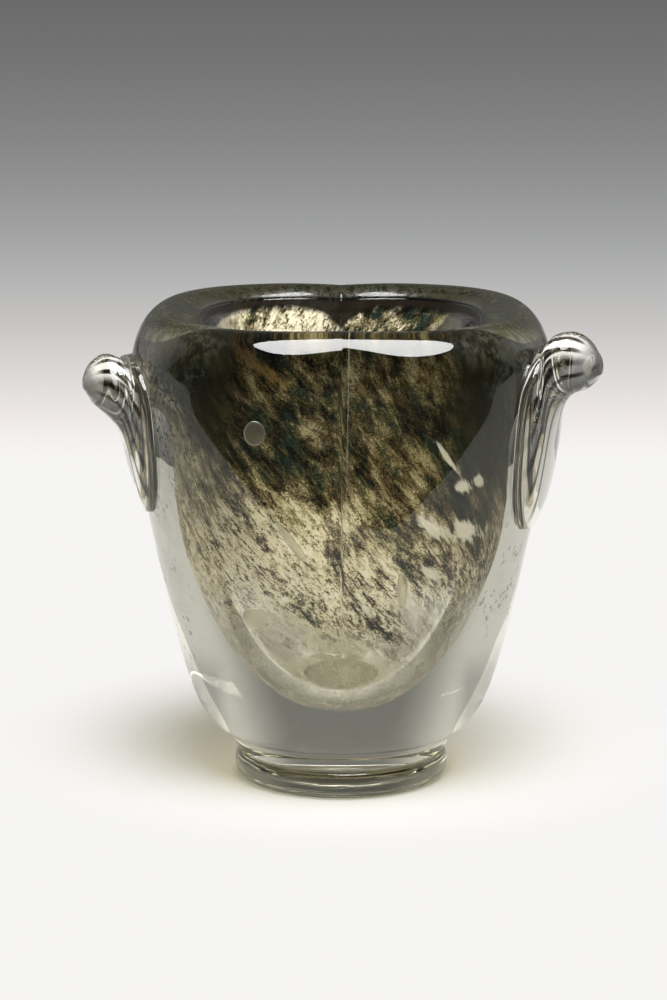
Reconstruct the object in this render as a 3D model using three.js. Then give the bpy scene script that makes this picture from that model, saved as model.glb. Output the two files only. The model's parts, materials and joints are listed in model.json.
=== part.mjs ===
// A thick-walled cased glass vase with two pulled handles, in millimetres, +Z up.
// The origin is the centre of the flat underside of the foot, and -Y is the front.
import * as THREE from 'three';

// Overall form
const totalHeight = 160;
const shoulderHeight = 142;
const bodyHalfWidth = 69.5;
const bodyHalfDepth = 60.4;
const lipHalfWidth = 56;
const lipHalfDepth = 49.5;

// Foot, a separate disc of clear glass
const footHeight = 9.3;
const footRadius = 36;
const footRestRadius = 32.5;
const footTopRadius = 34.2;
const footBellyHeight = 4.4;

// Waist, where the body sits on the foot
const waistRadius = 35;

// Cavity
const mouthHalfWidth = 45.5;
const mouthHalfDepth = 41;
const mouthDrop = 8;
const cavityHalfWidth = 34.8;
const cavityHalfDepth = 30.2;
const cavityFloorHeight = 35;
const bowlHeight = 86;
const flareDepth = 50;
const thinningDepth = 20;

// Layers of glass around the cavity, and the clearance between neighbouring pieces
const gatherWall = 3;
const colourWall = 1.6;
const seamGap = 0.3;

// The upright fold pressed into the front and the back of the body
const foldDepth = 4.5;
const foldStartHeight = 20;
const foldFullHeight = 90;
const lipFoldFadeHeight = 140;

// Handles: the leaf that is pressed on the wall, and how far the knob stands out from it
const leafHalfWidth = 22;
const rightLeafAzimuth = THREE.MathUtils.degToRad(21.5);
const rightLeafBottomHeight = 90;
const rightLeafTopHeight = 151;
const rightKnobReach = 20.8;
const leftLeafAzimuth = THREE.MathUtils.degToRad(15.5);
const leftLeafBottomHeight = 94.5;
const leftLeafTopHeight = 147;
const leftKnobReach = 17.6;

// Shape shares, chosen by hand
const baseSquareness = 2;
const lipSquareness = 3;
const bowlRoundness = 2;
const flareSharpness = 3;
const foldReachShare = 0.4;
const lipFrontFoldShare = 0.3;
const mouthLayerShare = 0.4;
const floorLayerShare = 1.3;
const leafSquareness = 2.6;
const knobSquareness = 2;
const knobFreeShare = 0.5;

// Numbers of sides and rings
const ringSides = 48;
const wallRings = 14;
const shoulderRollRings = 6;
const mouthRollRings = 4;
const bowlRings = 7;
const upperCavityRings = 6;
const footSides = 48;
const footArcSteps = 4;
const handleSides = 28;
const seatRings = 6;

const quarterTurn = Math.PI / 2;
const fullTurn = Math.PI * 2;
const bodyBottomHeight = footHeight + seamGap;
const mouthHeight = totalHeight - mouthDrop;

// Rows from the waist up to the shoulder: share of the height, share of the spread
const wallRowShares = [
  [0, 0],
  [0.026, 0.052],
  [0.064, 0.2],
  [0.109, 0.347],
  [0.169, 0.451],
  [0.26, 0.558],
  [0.381, 0.673],
  [0.532, 0.795],
  [0.683, 0.905],
  [0.819, 0.975],
  [0.924, 1],
  [1, 1],
];

// Rows from the wall out to the knob's end: share of the reach, share of the leaf's half-width
// where the row is centred, share of it that the row spreads, the row's lowest and highest place
// as shares of the leaf's height, and how much the row narrows towards its lower end
const seatRowShares = [0, 0, 1, 0, 1, 0.25];
const rightHandleShares = [
  [0.087, 0, 0.985, 0.008, 1.015, 0.25],
  [0.146, 0.02, 0.9, 0.05, 1.03, 0.3],
  [0.19, 0.08, 0.8, 0.12, 1.045, 0.35],
  [0.228, 0.2, 0.68, 0.23, 1.066, 0.45],
  [0.267, 0.32, 0.57, 0.41, 1.079, 0.5],
  [0.325, 0.4, 0.49, 0.59, 1.092, 0.4],
  [0.4, 0.41, 0.45, 0.702, 1.104, 0.25],
  [0.51, 0.4, 0.42, 0.766, 1.112, 0.1],
  [0.631, 0.38, 0.41, 0.793, 1.11, 0],
  [0.752, 0.36, 0.38, 0.808, 1.09, 0],
  [0.864, 0.35, 0.31, 0.84, 1.056, 0],
  [0.951, 0.35, 0.19, 0.88, 1.014, 0],
];
const rightTipShares = [1, 0.35, 0.953];
const leftHandleShares = [
  [0.09, 0, 0.985, 0.01, 0.995, 0.25],
  [0.15, 0.02, 0.9, 0.05, 0.995, 0.3],
  [0.197, 0.08, 0.8, 0.12, 0.998, 0.35],
  [0.238, 0.18, 0.68, 0.24, 1, 0.45],
  [0.284, 0.28, 0.58, 0.37, 1.005, 0.5],
  [0.345, 0.35, 0.5, 0.49, 1.015, 0.4],
  [0.435, 0.37, 0.45, 0.58, 1.03, 0.25],
  [0.545, 0.37, 0.43, 0.638, 1.04, 0.1],
  [0.675, 0.36, 0.41, 0.68, 1.032, 0],
  [0.795, 0.35, 0.36, 0.72, 1.002, 0],
  [0.895, 0.35, 0.27, 0.765, 0.96, 0],
  [0.966, 0.35, 0.15, 0.813, 0.905, 0],
];
const leftTipShares = [1, 0.35, 0.86];

// A smooth step from 0 at the start to 1 at the end
function ramp(value, start, end) {
  return THREE.MathUtils.smoothstep(value, start, end);
}

function squarenessAt(height) {
  const share = height / totalHeight;
  return baseSquareness + (lipSquareness - baseSquareness) * share * share;
}

// How deep the fold is at a height, in front or behind: the front one fades out on the lip
function foldAt(height, isFront) {
  const fullFold = foldDepth * ramp(height, foldStartHeight, foldFullHeight);
  if (!isFront) {
    return fullFold;
  }
  const fade = ramp(height, lipFoldFadeHeight, totalHeight);
  return fullFold * (1 - (1 - lipFrontFoldShare) * fade);
}

// A point of the rounded, folded outline at one height, seen from the axis at an angle
function outlinePoint(halfWidth, halfDepth, height, angle) {
  const squareness = squarenessAt(height);
  const across = Math.abs(Math.cos(angle)) / halfWidth;
  const along = Math.abs(Math.sin(angle)) / halfDepth;
  const reach = (across ** squareness + along ** squareness) ** (-1 / squareness);
  const x = reach * Math.cos(angle);
  const y = reach * Math.sin(angle);
  const nearness = Math.max(0, 1 - Math.abs(x) / (foldReachShare * halfWidth));
  const fold = foldAt(height, y < 0) * nearness * nearness;
  return new THREE.Vector3(x, y - Math.sign(y) * fold, height);
}

function outlineRing(halfWidth, halfDepth, height) {
  const ring = [];
  for (let side = 0; side < ringSides; side += 1) {
    ring.push(outlinePoint(halfWidth, halfDepth, height, (side / ringSides) * fullTurn));
  }
  return ring;
}

// A closed body from a chain of rings whose first and last entries are single points
function closedBody(rings) {
  const sides = rings[1].length;
  const positions = [];
  const starts = [];
  for (const ring of rings) {
    starts.push(positions.length / 3);
    for (const point of ring) {
      positions.push(point.x, point.y, point.z);
    }
  }
  const triangles = [];
  for (let level = 0; level < rings.length - 1; level += 1) {
    const low = starts[level];
    const high = starts[level + 1];
    for (let side = 0; side < sides; side += 1) {
      const next = (side + 1) % sides;
      if (rings[level].length === 1) {
        triangles.push(low, high + next, high + side);
      } else if (rings[level + 1].length === 1) {
        triangles.push(low + side, low + next, high);
      } else {
        triangles.push(low + side, low + next, high + next);
        triangles.push(low + side, high + next, high + side);
      }
    }
  }
  const geometry = new THREE.BufferGeometry();
  geometry.setAttribute('position', new THREE.Float32BufferAttribute(positions, 3));
  geometry.setIndex(triangles);
  geometry.computeVertexNormals();
  return geometry;
}

// The outside of the body from the waist to the crest of the lip: height, half-width, half-depth
function wallRows() {
  const spline = new THREE.CatmullRomCurve3(
    wallRowShares.map(([heightShare, spreadShare]) => new THREE.Vector3(spreadShare, 0, heightShare)),
    false,
    'centripetal',
  );
  const rows = spline.getPoints(wallRings).map((point) => ({
    height: bodyBottomHeight + (shoulderHeight - bodyBottomHeight) * point.z,
    halfWidth: waistRadius + (bodyHalfWidth - waistRadius) * point.x,
    halfDepth: waistRadius + (bodyHalfDepth - waistRadius) * point.x,
  }));
  for (let step = 1; step <= shoulderRollRings; step += 1) {
    const turn = (step / shoulderRollRings) * quarterTurn;
    rows.push({
      height: shoulderHeight + (totalHeight - shoulderHeight) * Math.sin(turn),
      halfWidth: lipHalfWidth + (bodyHalfWidth - lipHalfWidth) * Math.cos(turn),
      halfDepth: lipHalfDepth + (bodyHalfDepth - lipHalfDepth) * Math.cos(turn),
    });
  }
  return rows;
}

// The cavity's half-width and half-depth at a height: a deep bowl that flares into the mouth
function cavityRow(height) {
  const bowlShare = Math.min(1, (height - cavityFloorHeight) / bowlHeight);
  const spread = (1 - (1 - bowlShare) ** bowlRoundness) ** (1 / bowlRoundness);
  const rise = Math.max(0, 1 - (mouthHeight - height) / flareDepth);
  const flare = rise ** flareSharpness;
  return {
    height,
    halfWidth: cavityHalfWidth * spread + (mouthHalfWidth - cavityHalfWidth) * flare,
    halfDepth: cavityHalfDepth * spread + (mouthHalfDepth - cavityHalfDepth) * flare,
  };
}

// The cavity's surface as rings from its floor to the inner edge of the lip
function cavityRings() {
  const rings = [[new THREE.Vector3(0, 0, cavityFloorHeight)]];
  const heights = [];
  for (let step = 1; step <= bowlRings; step += 1) {
    const turn = (step / bowlRings) * quarterTurn;
    heights.push(cavityFloorHeight + bowlHeight * (1 - Math.cos(turn)));
  }
  const bowlTop = cavityFloorHeight + bowlHeight;
  for (let step = 1; step <= upperCavityRings; step += 1) {
    const share = Math.sin((step / upperCavityRings) * quarterTurn);
    heights.push(bowlTop + (mouthHeight - bowlTop) * share);
  }
  for (const height of heights) {
    const row = cavityRow(height);
    rings.push(outlineRing(row.halfWidth, row.halfDepth, row.height));
  }
  return rings;
}

// How thick the layers are at a height, as a share of their named walls
function layerShareAt(height) {
  const towardsMouth = ramp(height, mouthHeight - thinningDepth, mouthHeight);
  const aboveFloor = ramp(height, cavityFloorHeight, cavityFloorHeight + bowlHeight);
  return 1 + (floorLayerShare - 1) * (1 - aboveFloor) - (1 - mouthLayerShare) * towardsMouth;
}

// A ring on the lip's inward roll, from the crest at share 0 to the mouth's edge at share 1
function mouthRollRing(share) {
  const crest = outlineRing(lipHalfWidth, lipHalfDepth, totalHeight);
  const edge = outlineRing(mouthHalfWidth, mouthHalfDepth, mouthHeight);
  const drop = 1 - Math.sqrt(1 - share * share);
  return crest.map((point, side) => new THREE.Vector3(
    THREE.MathUtils.lerp(point.x, edge[side].x, share),
    THREE.MathUtils.lerp(point.y, edge[side].y, share),
    THREE.MathUtils.lerp(point.z, edge[side].z, drop),
  ));
}

// The share of the lip's inward roll where a layer ends that lies a distance behind the cavity
function mouthShareAt(distance) {
  return 1 - distance / (lipHalfWidth - mouthHalfWidth);
}

// The cavity's surface moved into the glass: by a share of the layers and by a number of gaps
function layerSurface(rings, wall, gaps) {
  const last = rings.length - 1;
  const clearance = seamGap * gaps;
  const floorMove = wall * layerShareAt(cavityFloorHeight) + clearance;
  const moved = [[new THREE.Vector3(0, 0, cavityFloorHeight - floorMove)]];
  for (let level = 1; level < last; level += 1) {
    const ring = rings[level];
    const below = rings[level - 1];
    const above = rings[level + 1];
    const distance = wall * layerShareAt(ring[0].z) + clearance;
    moved.push(ring.map((point, side) => {
      const around = new THREE.Vector3().subVectors(
        ring[(side + 1) % ringSides],
        ring[(side + ringSides - 1) % ringSides],
      );
      const along = new THREE.Vector3().subVectors(above[side], below[side % below.length]);
      const outward = around.cross(along).normalize();
      return point.clone().addScaledVector(outward, distance);
    }));
  }
  moved.push(mouthRollRing(mouthShareAt(wall * mouthLayerShare + clearance)));
  return moved;
}

const wall = wallRows();
const cavity = cavityRings();
const gatherOutside = layerSurface(cavity, gatherWall, 0);
const colourInside = layerSurface(cavity, gatherWall, 1);
const colourOutside = layerSurface(cavity, gatherWall + colourWall, 1);
const casingInside = layerSurface(cavity, gatherWall + colourWall, 2);

// The clear outer casing: the solid base, the outside wall, the rolled lip and the bed of the
// coloured layer
function outerCasingGeometry() {
  const rings = [[new THREE.Vector3(0, 0, bodyBottomHeight)]];
  for (const row of wall) {
    rings.push(outlineRing(row.halfWidth, row.halfDepth, row.height));
  }
  const endShare = mouthShareAt((gatherWall + colourWall) * mouthLayerShare + seamGap * 2);
  for (let step = 1; step < mouthRollRings; step += 1) {
    rings.push(mouthRollRing((endShare * step) / mouthRollRings));
  }
  rings.push(...casingInside.slice().reverse());
  return closedBody(rings);
}

// A thin cup of glass between two surfaces that both run from the floor to the mouth
function cupGeometry(outside, inside) {
  return closedBody([...outside, ...inside.slice().reverse()]);
}

// The foot: a flat disc with a rounded edge
function footGeometry() {
  const outline = [new THREE.Vector2(0, 0)];
  for (let step = 0; step <= footArcSteps; step += 1) {
    const turn = (step / footArcSteps) * quarterTurn;
    outline.push(new THREE.Vector2(
      footRestRadius + (footRadius - footRestRadius) * Math.sin(turn),
      footBellyHeight * (1 - Math.cos(turn)),
    ));
  }
  for (let step = 1; step <= footArcSteps; step += 1) {
    const turn = (step / footArcSteps) * quarterTurn;
    outline.push(new THREE.Vector2(
      footTopRadius + (footRadius - footTopRadius) * Math.cos(turn),
      footBellyHeight + (footHeight - footBellyHeight) * Math.sin(turn),
    ));
  }
  outline.push(new THREE.Vector2(0, footHeight));
  const geometry = new THREE.LatheGeometry(outline, footSides);
  return geometry.rotateX(quarterTurn);
}

// The outside wall's half-width and half-depth at any height
function wallRowAt(height) {
  const upper = Math.max(1, wall.findIndex((row) => row.height >= height));
  const low = wall[upper - 1];
  const high = wall[upper];
  const share = (height - low.height) / (high.height - low.height);
  return {
    halfWidth: THREE.MathUtils.lerp(low.halfWidth, high.halfWidth, share),
    halfDepth: THREE.MathUtils.lerp(low.halfDepth, high.halfDepth, share),
  };
}

// The level direction that points straight out of the side wall at an angle towards the front
function wallNormal(row, height, azimuth) {
  const onWall = outlinePoint(row.halfWidth, row.halfDepth, height, -azimuth);
  const exponent = squarenessAt(height) - 1;
  return new THREE.Vector3(
    (Math.abs(onWall.x) / row.halfWidth) ** exponent / row.halfWidth,
    -Math.sign(azimuth) * (Math.abs(onWall.y) / row.halfDepth) ** exponent / row.halfDepth,
    0,
  ).normalize();
}

// A point that stands out from the wall: across counts from the leaf's middle towards the front.
// Close to the wall it follows the wall's own normals, and the knob keeps to the leaf's middle one
function pointOffWall(handle, across, height, out) {
  const seatHeight = Math.min(height, handle.leafTopHeight);
  const row = wallRowAt(seatHeight);
  const azimuth = handle.leafAzimuth + across / bodyHalfWidth;
  const seat = outlinePoint(row.halfWidth, row.halfDepth, seatHeight, -azimuth);
  const middleNormal = wallNormal(row, seatHeight, handle.leafAzimuth);
  const freedom = ramp(out, 0, handle.knobReach * knobFreeShare);
  const outward = wallNormal(row, seatHeight, azimuth).lerp(middleNormal, freedom).normalize();
  const point = seat.addScaledVector(outward, out + seamGap);
  return new THREE.Vector3(point.x * handle.side, point.y, height);
}

// One closed row of the handle: a squared oval on the leaf, a plain one on the knob, which may
// narrow towards its lower end
function handleRow(handle, shares, sizeShare) {
  const [outShare, centreShare, halfWidthShare, lowShare, highShare, narrowing] = shares;
  const leafHeight = handle.leafTopHeight - handle.leafBottomHeight;
  const middle = handle.leafBottomHeight + (leafHeight * (lowShare + highShare)) / 2;
  const halfHeight = (leafHeight * (highShare - lowShare)) / 2;
  const rounding = ramp(outShare, 0, knobFreeShare);
  const squareness = THREE.MathUtils.lerp(leafSquareness, knobSquareness, rounding);
  const ring = [];
  for (let side = 0; side < handleSides; side += 1) {
    const angle = -handle.side * (side / handleSides) * fullTurn;
    const sidewards = Math.cos(angle);
    const upwards = Math.sin(angle);
    const sum = Math.abs(sidewards) ** squareness + Math.abs(upwards) ** squareness;
    const reach = sizeShare * sum ** (-1 / squareness);
    const taper = 1 - narrowing * (1 - reach * upwards) / 2;
    const across = leafHalfWidth * (centreShare + halfWidthShare * taper * reach * sidewards);
    const height = middle + halfHeight * reach * upwards;
    ring.push(pointOffWall(handle, across, height, handle.knobReach * outShare));
  }
  return ring;
}

// A handle: a leaf pressed on the wall whose ridge rises into a rounded knob
function handleGeometry(handle) {
  const middle = (handle.leafBottomHeight + handle.leafTopHeight) / 2;
  const rings = [[pointOffWall(handle, 0, middle, 0)]];
  for (let step = 1; step <= seatRings; step += 1) {
    rings.push(handleRow(handle, seatRowShares, step / seatRings));
  }
  for (const shares of handle.rowShares) {
    rings.push(handleRow(handle, shares, 1));
  }
  const [outShare, centreShare, heightShare] = handle.tipShares;
  const tipHeight = THREE.MathUtils.lerp(
    handle.leafBottomHeight,
    handle.leafTopHeight,
    heightShare,
  );
  const across = leafHalfWidth * centreShare;
  rings.push([pointOffWall(handle, across, tipHeight, handle.knobReach * outShare)]);
  return closedBody(rings);
}

const rightHandle = {
  side: 1,
  leafAzimuth: rightLeafAzimuth,
  leafBottomHeight: rightLeafBottomHeight,
  leafTopHeight: rightLeafTopHeight,
  knobReach: rightKnobReach,
  rowShares: rightHandleShares,
  tipShares: rightTipShares,
};
const leftHandle = {
  side: -1,
  leafAzimuth: leftLeafAzimuth,
  leafBottomHeight: leftLeafBottomHeight,
  leafTopHeight: leftLeafTopHeight,
  knobReach: leftKnobReach,
  rowShares: leftHandleShares,
  tipShares: leftTipShares,
};

// Glass finishes
const clearGlass = { color: 0xb9bdb0, roughness: 0.03, metalness: 0 };
const handleGlass = { color: 0xdfe0dc, roughness: 0.02, metalness: 0 };
const mottledGlass = { color: 0x6f6a4d, roughness: 0.35, metalness: 0 };

function addPiece(group, name, geometry, finish) {
  const mesh = new THREE.Mesh(geometry, new THREE.MeshStandardMaterial(finish));
  mesh.name = name;
  group.add(mesh);
}

const vase = new THREE.Group();
vase.name = 'handled_glass_vase';
addPiece(vase, 'outer_casing', outerCasingGeometry(), clearGlass);
addPiece(vase, 'colour_layer', cupGeometry(colourOutside, colourInside), mottledGlass);
addPiece(vase, 'inner_gather', cupGeometry(gatherOutside, cavity), clearGlass);
addPiece(vase, 'foot', footGeometry(), clearGlass);
addPiece(vase, 'right_handle', handleGeometry(rightHandle), handleGlass);
addPiece(vase, 'left_handle', handleGeometry(leftHandle), handleGlass);

export default vase;
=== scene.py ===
"""A hand-blown cased glass vase with two pulled handles, dressed for a plain studio picture.

Every length is in metres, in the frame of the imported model: +Z up, -Y towards the front, and the
origin at the centre of the foot's flat underside. The glass pieces touch without an air gap: the
faces where two of them are fused are see-through, so light bends only where glass meets air.
"""

import json
import logging
import math
from dataclasses import dataclass, field
from enum import Enum
from typing import Any, Callable, Iterable, Mapping, Sequence, Union

import bpy
import numpy as np
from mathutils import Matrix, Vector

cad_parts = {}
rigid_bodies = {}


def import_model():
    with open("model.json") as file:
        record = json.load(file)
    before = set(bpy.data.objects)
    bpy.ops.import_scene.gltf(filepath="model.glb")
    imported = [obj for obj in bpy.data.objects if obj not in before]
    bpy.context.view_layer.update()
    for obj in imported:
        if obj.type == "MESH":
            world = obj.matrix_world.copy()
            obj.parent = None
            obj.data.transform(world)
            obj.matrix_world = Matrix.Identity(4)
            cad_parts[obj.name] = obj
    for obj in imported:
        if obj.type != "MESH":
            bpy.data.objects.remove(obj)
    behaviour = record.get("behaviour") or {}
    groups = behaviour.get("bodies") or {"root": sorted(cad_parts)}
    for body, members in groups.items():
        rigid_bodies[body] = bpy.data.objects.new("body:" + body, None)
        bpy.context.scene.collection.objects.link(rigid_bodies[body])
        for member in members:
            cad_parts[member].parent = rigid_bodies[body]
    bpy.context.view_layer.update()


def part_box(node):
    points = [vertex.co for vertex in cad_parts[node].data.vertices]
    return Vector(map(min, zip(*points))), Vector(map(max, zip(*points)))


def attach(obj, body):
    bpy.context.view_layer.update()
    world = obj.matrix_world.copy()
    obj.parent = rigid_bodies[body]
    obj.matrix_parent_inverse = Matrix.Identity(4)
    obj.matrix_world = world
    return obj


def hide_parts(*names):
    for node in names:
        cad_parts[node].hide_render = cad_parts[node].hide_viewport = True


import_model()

LOG = logging.getLogger("vase")

Colour = tuple[float, float, float, float]
Point = tuple[float, float, float]
Span = tuple[float, float]
Window = tuple[float, float, float, float]
WHITE: Colour = (1.0, 1.0, 1.0, 1.0)
LINES = "painted_reflection_lines"
QUARTER_TURN = math.pi / 2
FULL_TURN = 2 * math.pi
# The Y over which the front of the vase ends, and a distance that no spot reaches.
BEHIND: Span = (-0.004, 0.0)
FAR_OFF = 1000.0


def paint(code: str) -> Colour:
    """Turns a six-digit screen colour into the linear colour that a shader takes.

    Args:
        code: The colour as red, green and blue, two hexadecimal digits each.

    Returns:
        The linear colour with full opacity.
    """
    levels = [int(code[place:place + 2], 16) / 255 for place in (0, 2, 4)]
    linear = [v / 12.92 if v <= 0.04045 else ((v + 0.055) / 1.055) ** 2.4 for v in levels]
    return (linear[0], linear[1], linear[2], 1.0)


def smooth_step(value: Any, start: float, end: float) -> Any:
    """Rises smoothly from 0 at start to 1 at end, for a number or an array."""
    share = np.clip((value - start) / (end - start), 0, 1)
    return share * share * (3 - 2 * share)


def part_way(start: Any, end: Any, share: Any) -> Any:
    """The number or array that lies a share of the way from start to end."""
    return start + (end - start) * share


def inside(value: Any, window: Window) -> Any:
    """Rises to 1 over the first two of a window's edges and falls back over the last two."""
    return smooth_step(value, window[0], window[1]) * smooth_step(value, window[3], window[2])


def turns(count: int) -> np.ndarray:
    """Angles spread evenly round a full turn."""
    return np.arange(count) / count * FULL_TURN


def centre_point(height: float) -> np.ndarray:
    """The single point on the axis that closes a chain of rings."""
    return np.array([[0.0, 0.0, height]])


def circle(angles: np.ndarray, radius: float, height: float) -> np.ndarray:
    """A level ring of points about the axis."""
    x, y = radius * np.cos(angles), radius * np.sin(angles)
    return np.stack([x, y, np.full_like(x, height)], axis=1)


def squared_reach(angles: np.ndarray, half_width: Any, half_depth: Any, power: Any) -> np.ndarray:
    """How far out a rounded-square outline lies.

    Args:
        angles: The angles at which that is wanted.
        half_width: Its half-width, one number or one for each angle.
        half_depth: Its half-depth, likewise.
        power: How square it is, likewise, 2 being an ellipse.

    Returns:
        Its distance from the middle at each angle.
    """
    across = np.abs(np.cos(angles)) / half_width
    along = np.abs(np.sin(angles)) / half_depth
    return (across ** power + along ** power) ** (-1 / power)


def quarter_roll(start: Sequence[float], end: Sequence[float], count: int) -> np.ndarray:
    """Runs a quarter of an ellipse from an upright start over to a level end.

    Args:
        start: Where it starts. The last number is the height.
        end: Where it ends, likewise.
        count: How many points it gets.

    Returns:
        Its points, one in each row.
    """
    turn = np.linspace(0, QUARTER_TURN, count)[:, None]
    level = part_way(np.array(end[:-1]), np.array(start[:-1]), np.cos(turn))
    return np.hstack([level, part_way(start[-1], end[-1], np.sin(turn))])


class Body(Enum):
    """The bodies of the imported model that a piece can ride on."""

    ROOT = "root"


class Slot(Enum):
    """The material slots of the record."""

    CLEAR = "clear_glass"
    MOTTLED = "mottled_glass"
    HANDLE = "handle_glass"


class Side(Enum):
    """The side of the vase that a handle sits on, as the sign of its X."""

    RIGHT = 1
    LEFT = -1


class Signal:
    """A shader socket on which Python's operators work, each adding the Math node it stands for."""

    def __init__(self, tree: "ShaderTree", socket: bpy.types.NodeSocket) -> None:
        """Wraps one output socket of a tree."""
        self.tree = tree
        self.socket = socket

    def maths(self, operation: str, *values: "Operand") -> "Signal":
        """Adds one Math node that works on those values, in their order."""
        node = self.tree.node("ShaderNodeMath", {"operation": operation}, dict(enumerate(values)))
        return Signal(self.tree, node.outputs[0])

    def __add__(self, other: "Operand") -> "Signal":
        """Adds a signal or a number."""
        return self.maths("ADD", self, other)

    def __radd__(self, other: float) -> "Signal":
        """Adds this signal to a number."""
        return self.maths("ADD", other, self)

    def __sub__(self, other: "Operand") -> "Signal":
        """Takes a signal or a number away."""
        return self.maths("SUBTRACT", self, other)

    def __rsub__(self, other: float) -> "Signal":
        """Takes this signal away from a number."""
        return self.maths("SUBTRACT", other, self)

    def __mul__(self, other: "Operand") -> "Signal":
        """Multiplies by a signal or a number."""
        return self.maths("MULTIPLY", self, other)

    def __rmul__(self, other: float) -> "Signal":
        """Multiplies a number by this signal."""
        return self.maths("MULTIPLY", other, self)

    def __truediv__(self, other: "Operand") -> "Signal":
        """Divides by a signal or a number."""
        return self.maths("DIVIDE", self, other)

    def __rtruediv__(self, other: float) -> "Signal":
        """Divides a number by this signal."""
        return self.maths("DIVIDE", other, self)

    def __pow__(self, other: "Operand") -> "Signal":
        """Raises to a power."""
        return self.maths("POWER", self, other)

    def __abs__(self) -> "Signal":
        """Drops the sign."""
        return self.maths("ABSOLUTE", self)

    def at_least(self, other: "Operand") -> "Signal":
        """The larger of this and another."""
        return self.maths("MAXIMUM", self, other)

    def at_most(self, other: "Operand") -> "Signal":
        """The smaller of this and another."""
        return self.maths("MINIMUM", self, other)

    def rise(self, start: "Operand", end: "Operand") -> "Signal":
        """Rises smoothly from 0 at start to 1 at end.

        Args:
            start: The value up to which the result is 0.
            end: The value from which the result is 1. It may be below the start.

        Returns:
            The share between them.
        """
        node = self.tree.node(
            "ShaderNodeMapRange",
            {"interpolation_type": "SMOOTHSTEP"},
            {"Value": self, "From Min": start, "From Max": end},
        )
        return Signal(self.tree, node.outputs["Result"])

    def inside(self, window: Window) -> "Signal":
        """Rises to 1 over the first two of a window's edges and falls back over the last two."""
        return self.rise(window[0], window[1]) * self.rise(window[3], window[2])

    def part_way(self, start: float, end: float) -> "Signal":
        """Goes from start, where this is 0, to end, where it is 1."""
        return self * (end - start) + start


Operand = Union[Signal, float]


class Track(Signal):
    """A vector socket, such as the place of a point, whose operators add Vector Math nodes."""

    def maths(self, operation: str, *values: Union[Signal, Point]) -> "Track":
        """Adds one Vector Math node.

        Args:
            operation: The node's operation.
            values: Its inputs in order, as signals or plain triples.

        Returns:
            The node's vector.
        """
        settings = {"operation": operation}
        node = self.tree.node("ShaderNodeVectorMath", settings, dict(enumerate(values)))
        return Track(self.tree, node.outputs["Vector"])

    def parts(self) -> tuple[Signal, Signal, Signal]:
        """Splits the vector into its X, Y and Z."""
        node = self.tree.node("ShaderNodeSeparateXYZ", {}, {"Vector": self})
        return tuple(Signal(self.tree, node.outputs[axis]) for axis in "XYZ")

    def shifted(self, step: Point) -> "Track":
        """Moves the place, so that a second noise read there differs from the first."""
        return self.maths("ADD", self, step)

    def turned(self, angle: Operand) -> "Track":
        """Turns the place about the upright axis.

        Args:
            angle: How far, in radians.

        Returns:
            The turned place.
        """
        inputs = {"Vector": self, "Angle": angle}
        node = self.tree.node("ShaderNodeVectorRotate", {"rotation_type": "Z_AXIS"}, inputs)
        return Track(self.tree, node.outputs["Vector"])



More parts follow.
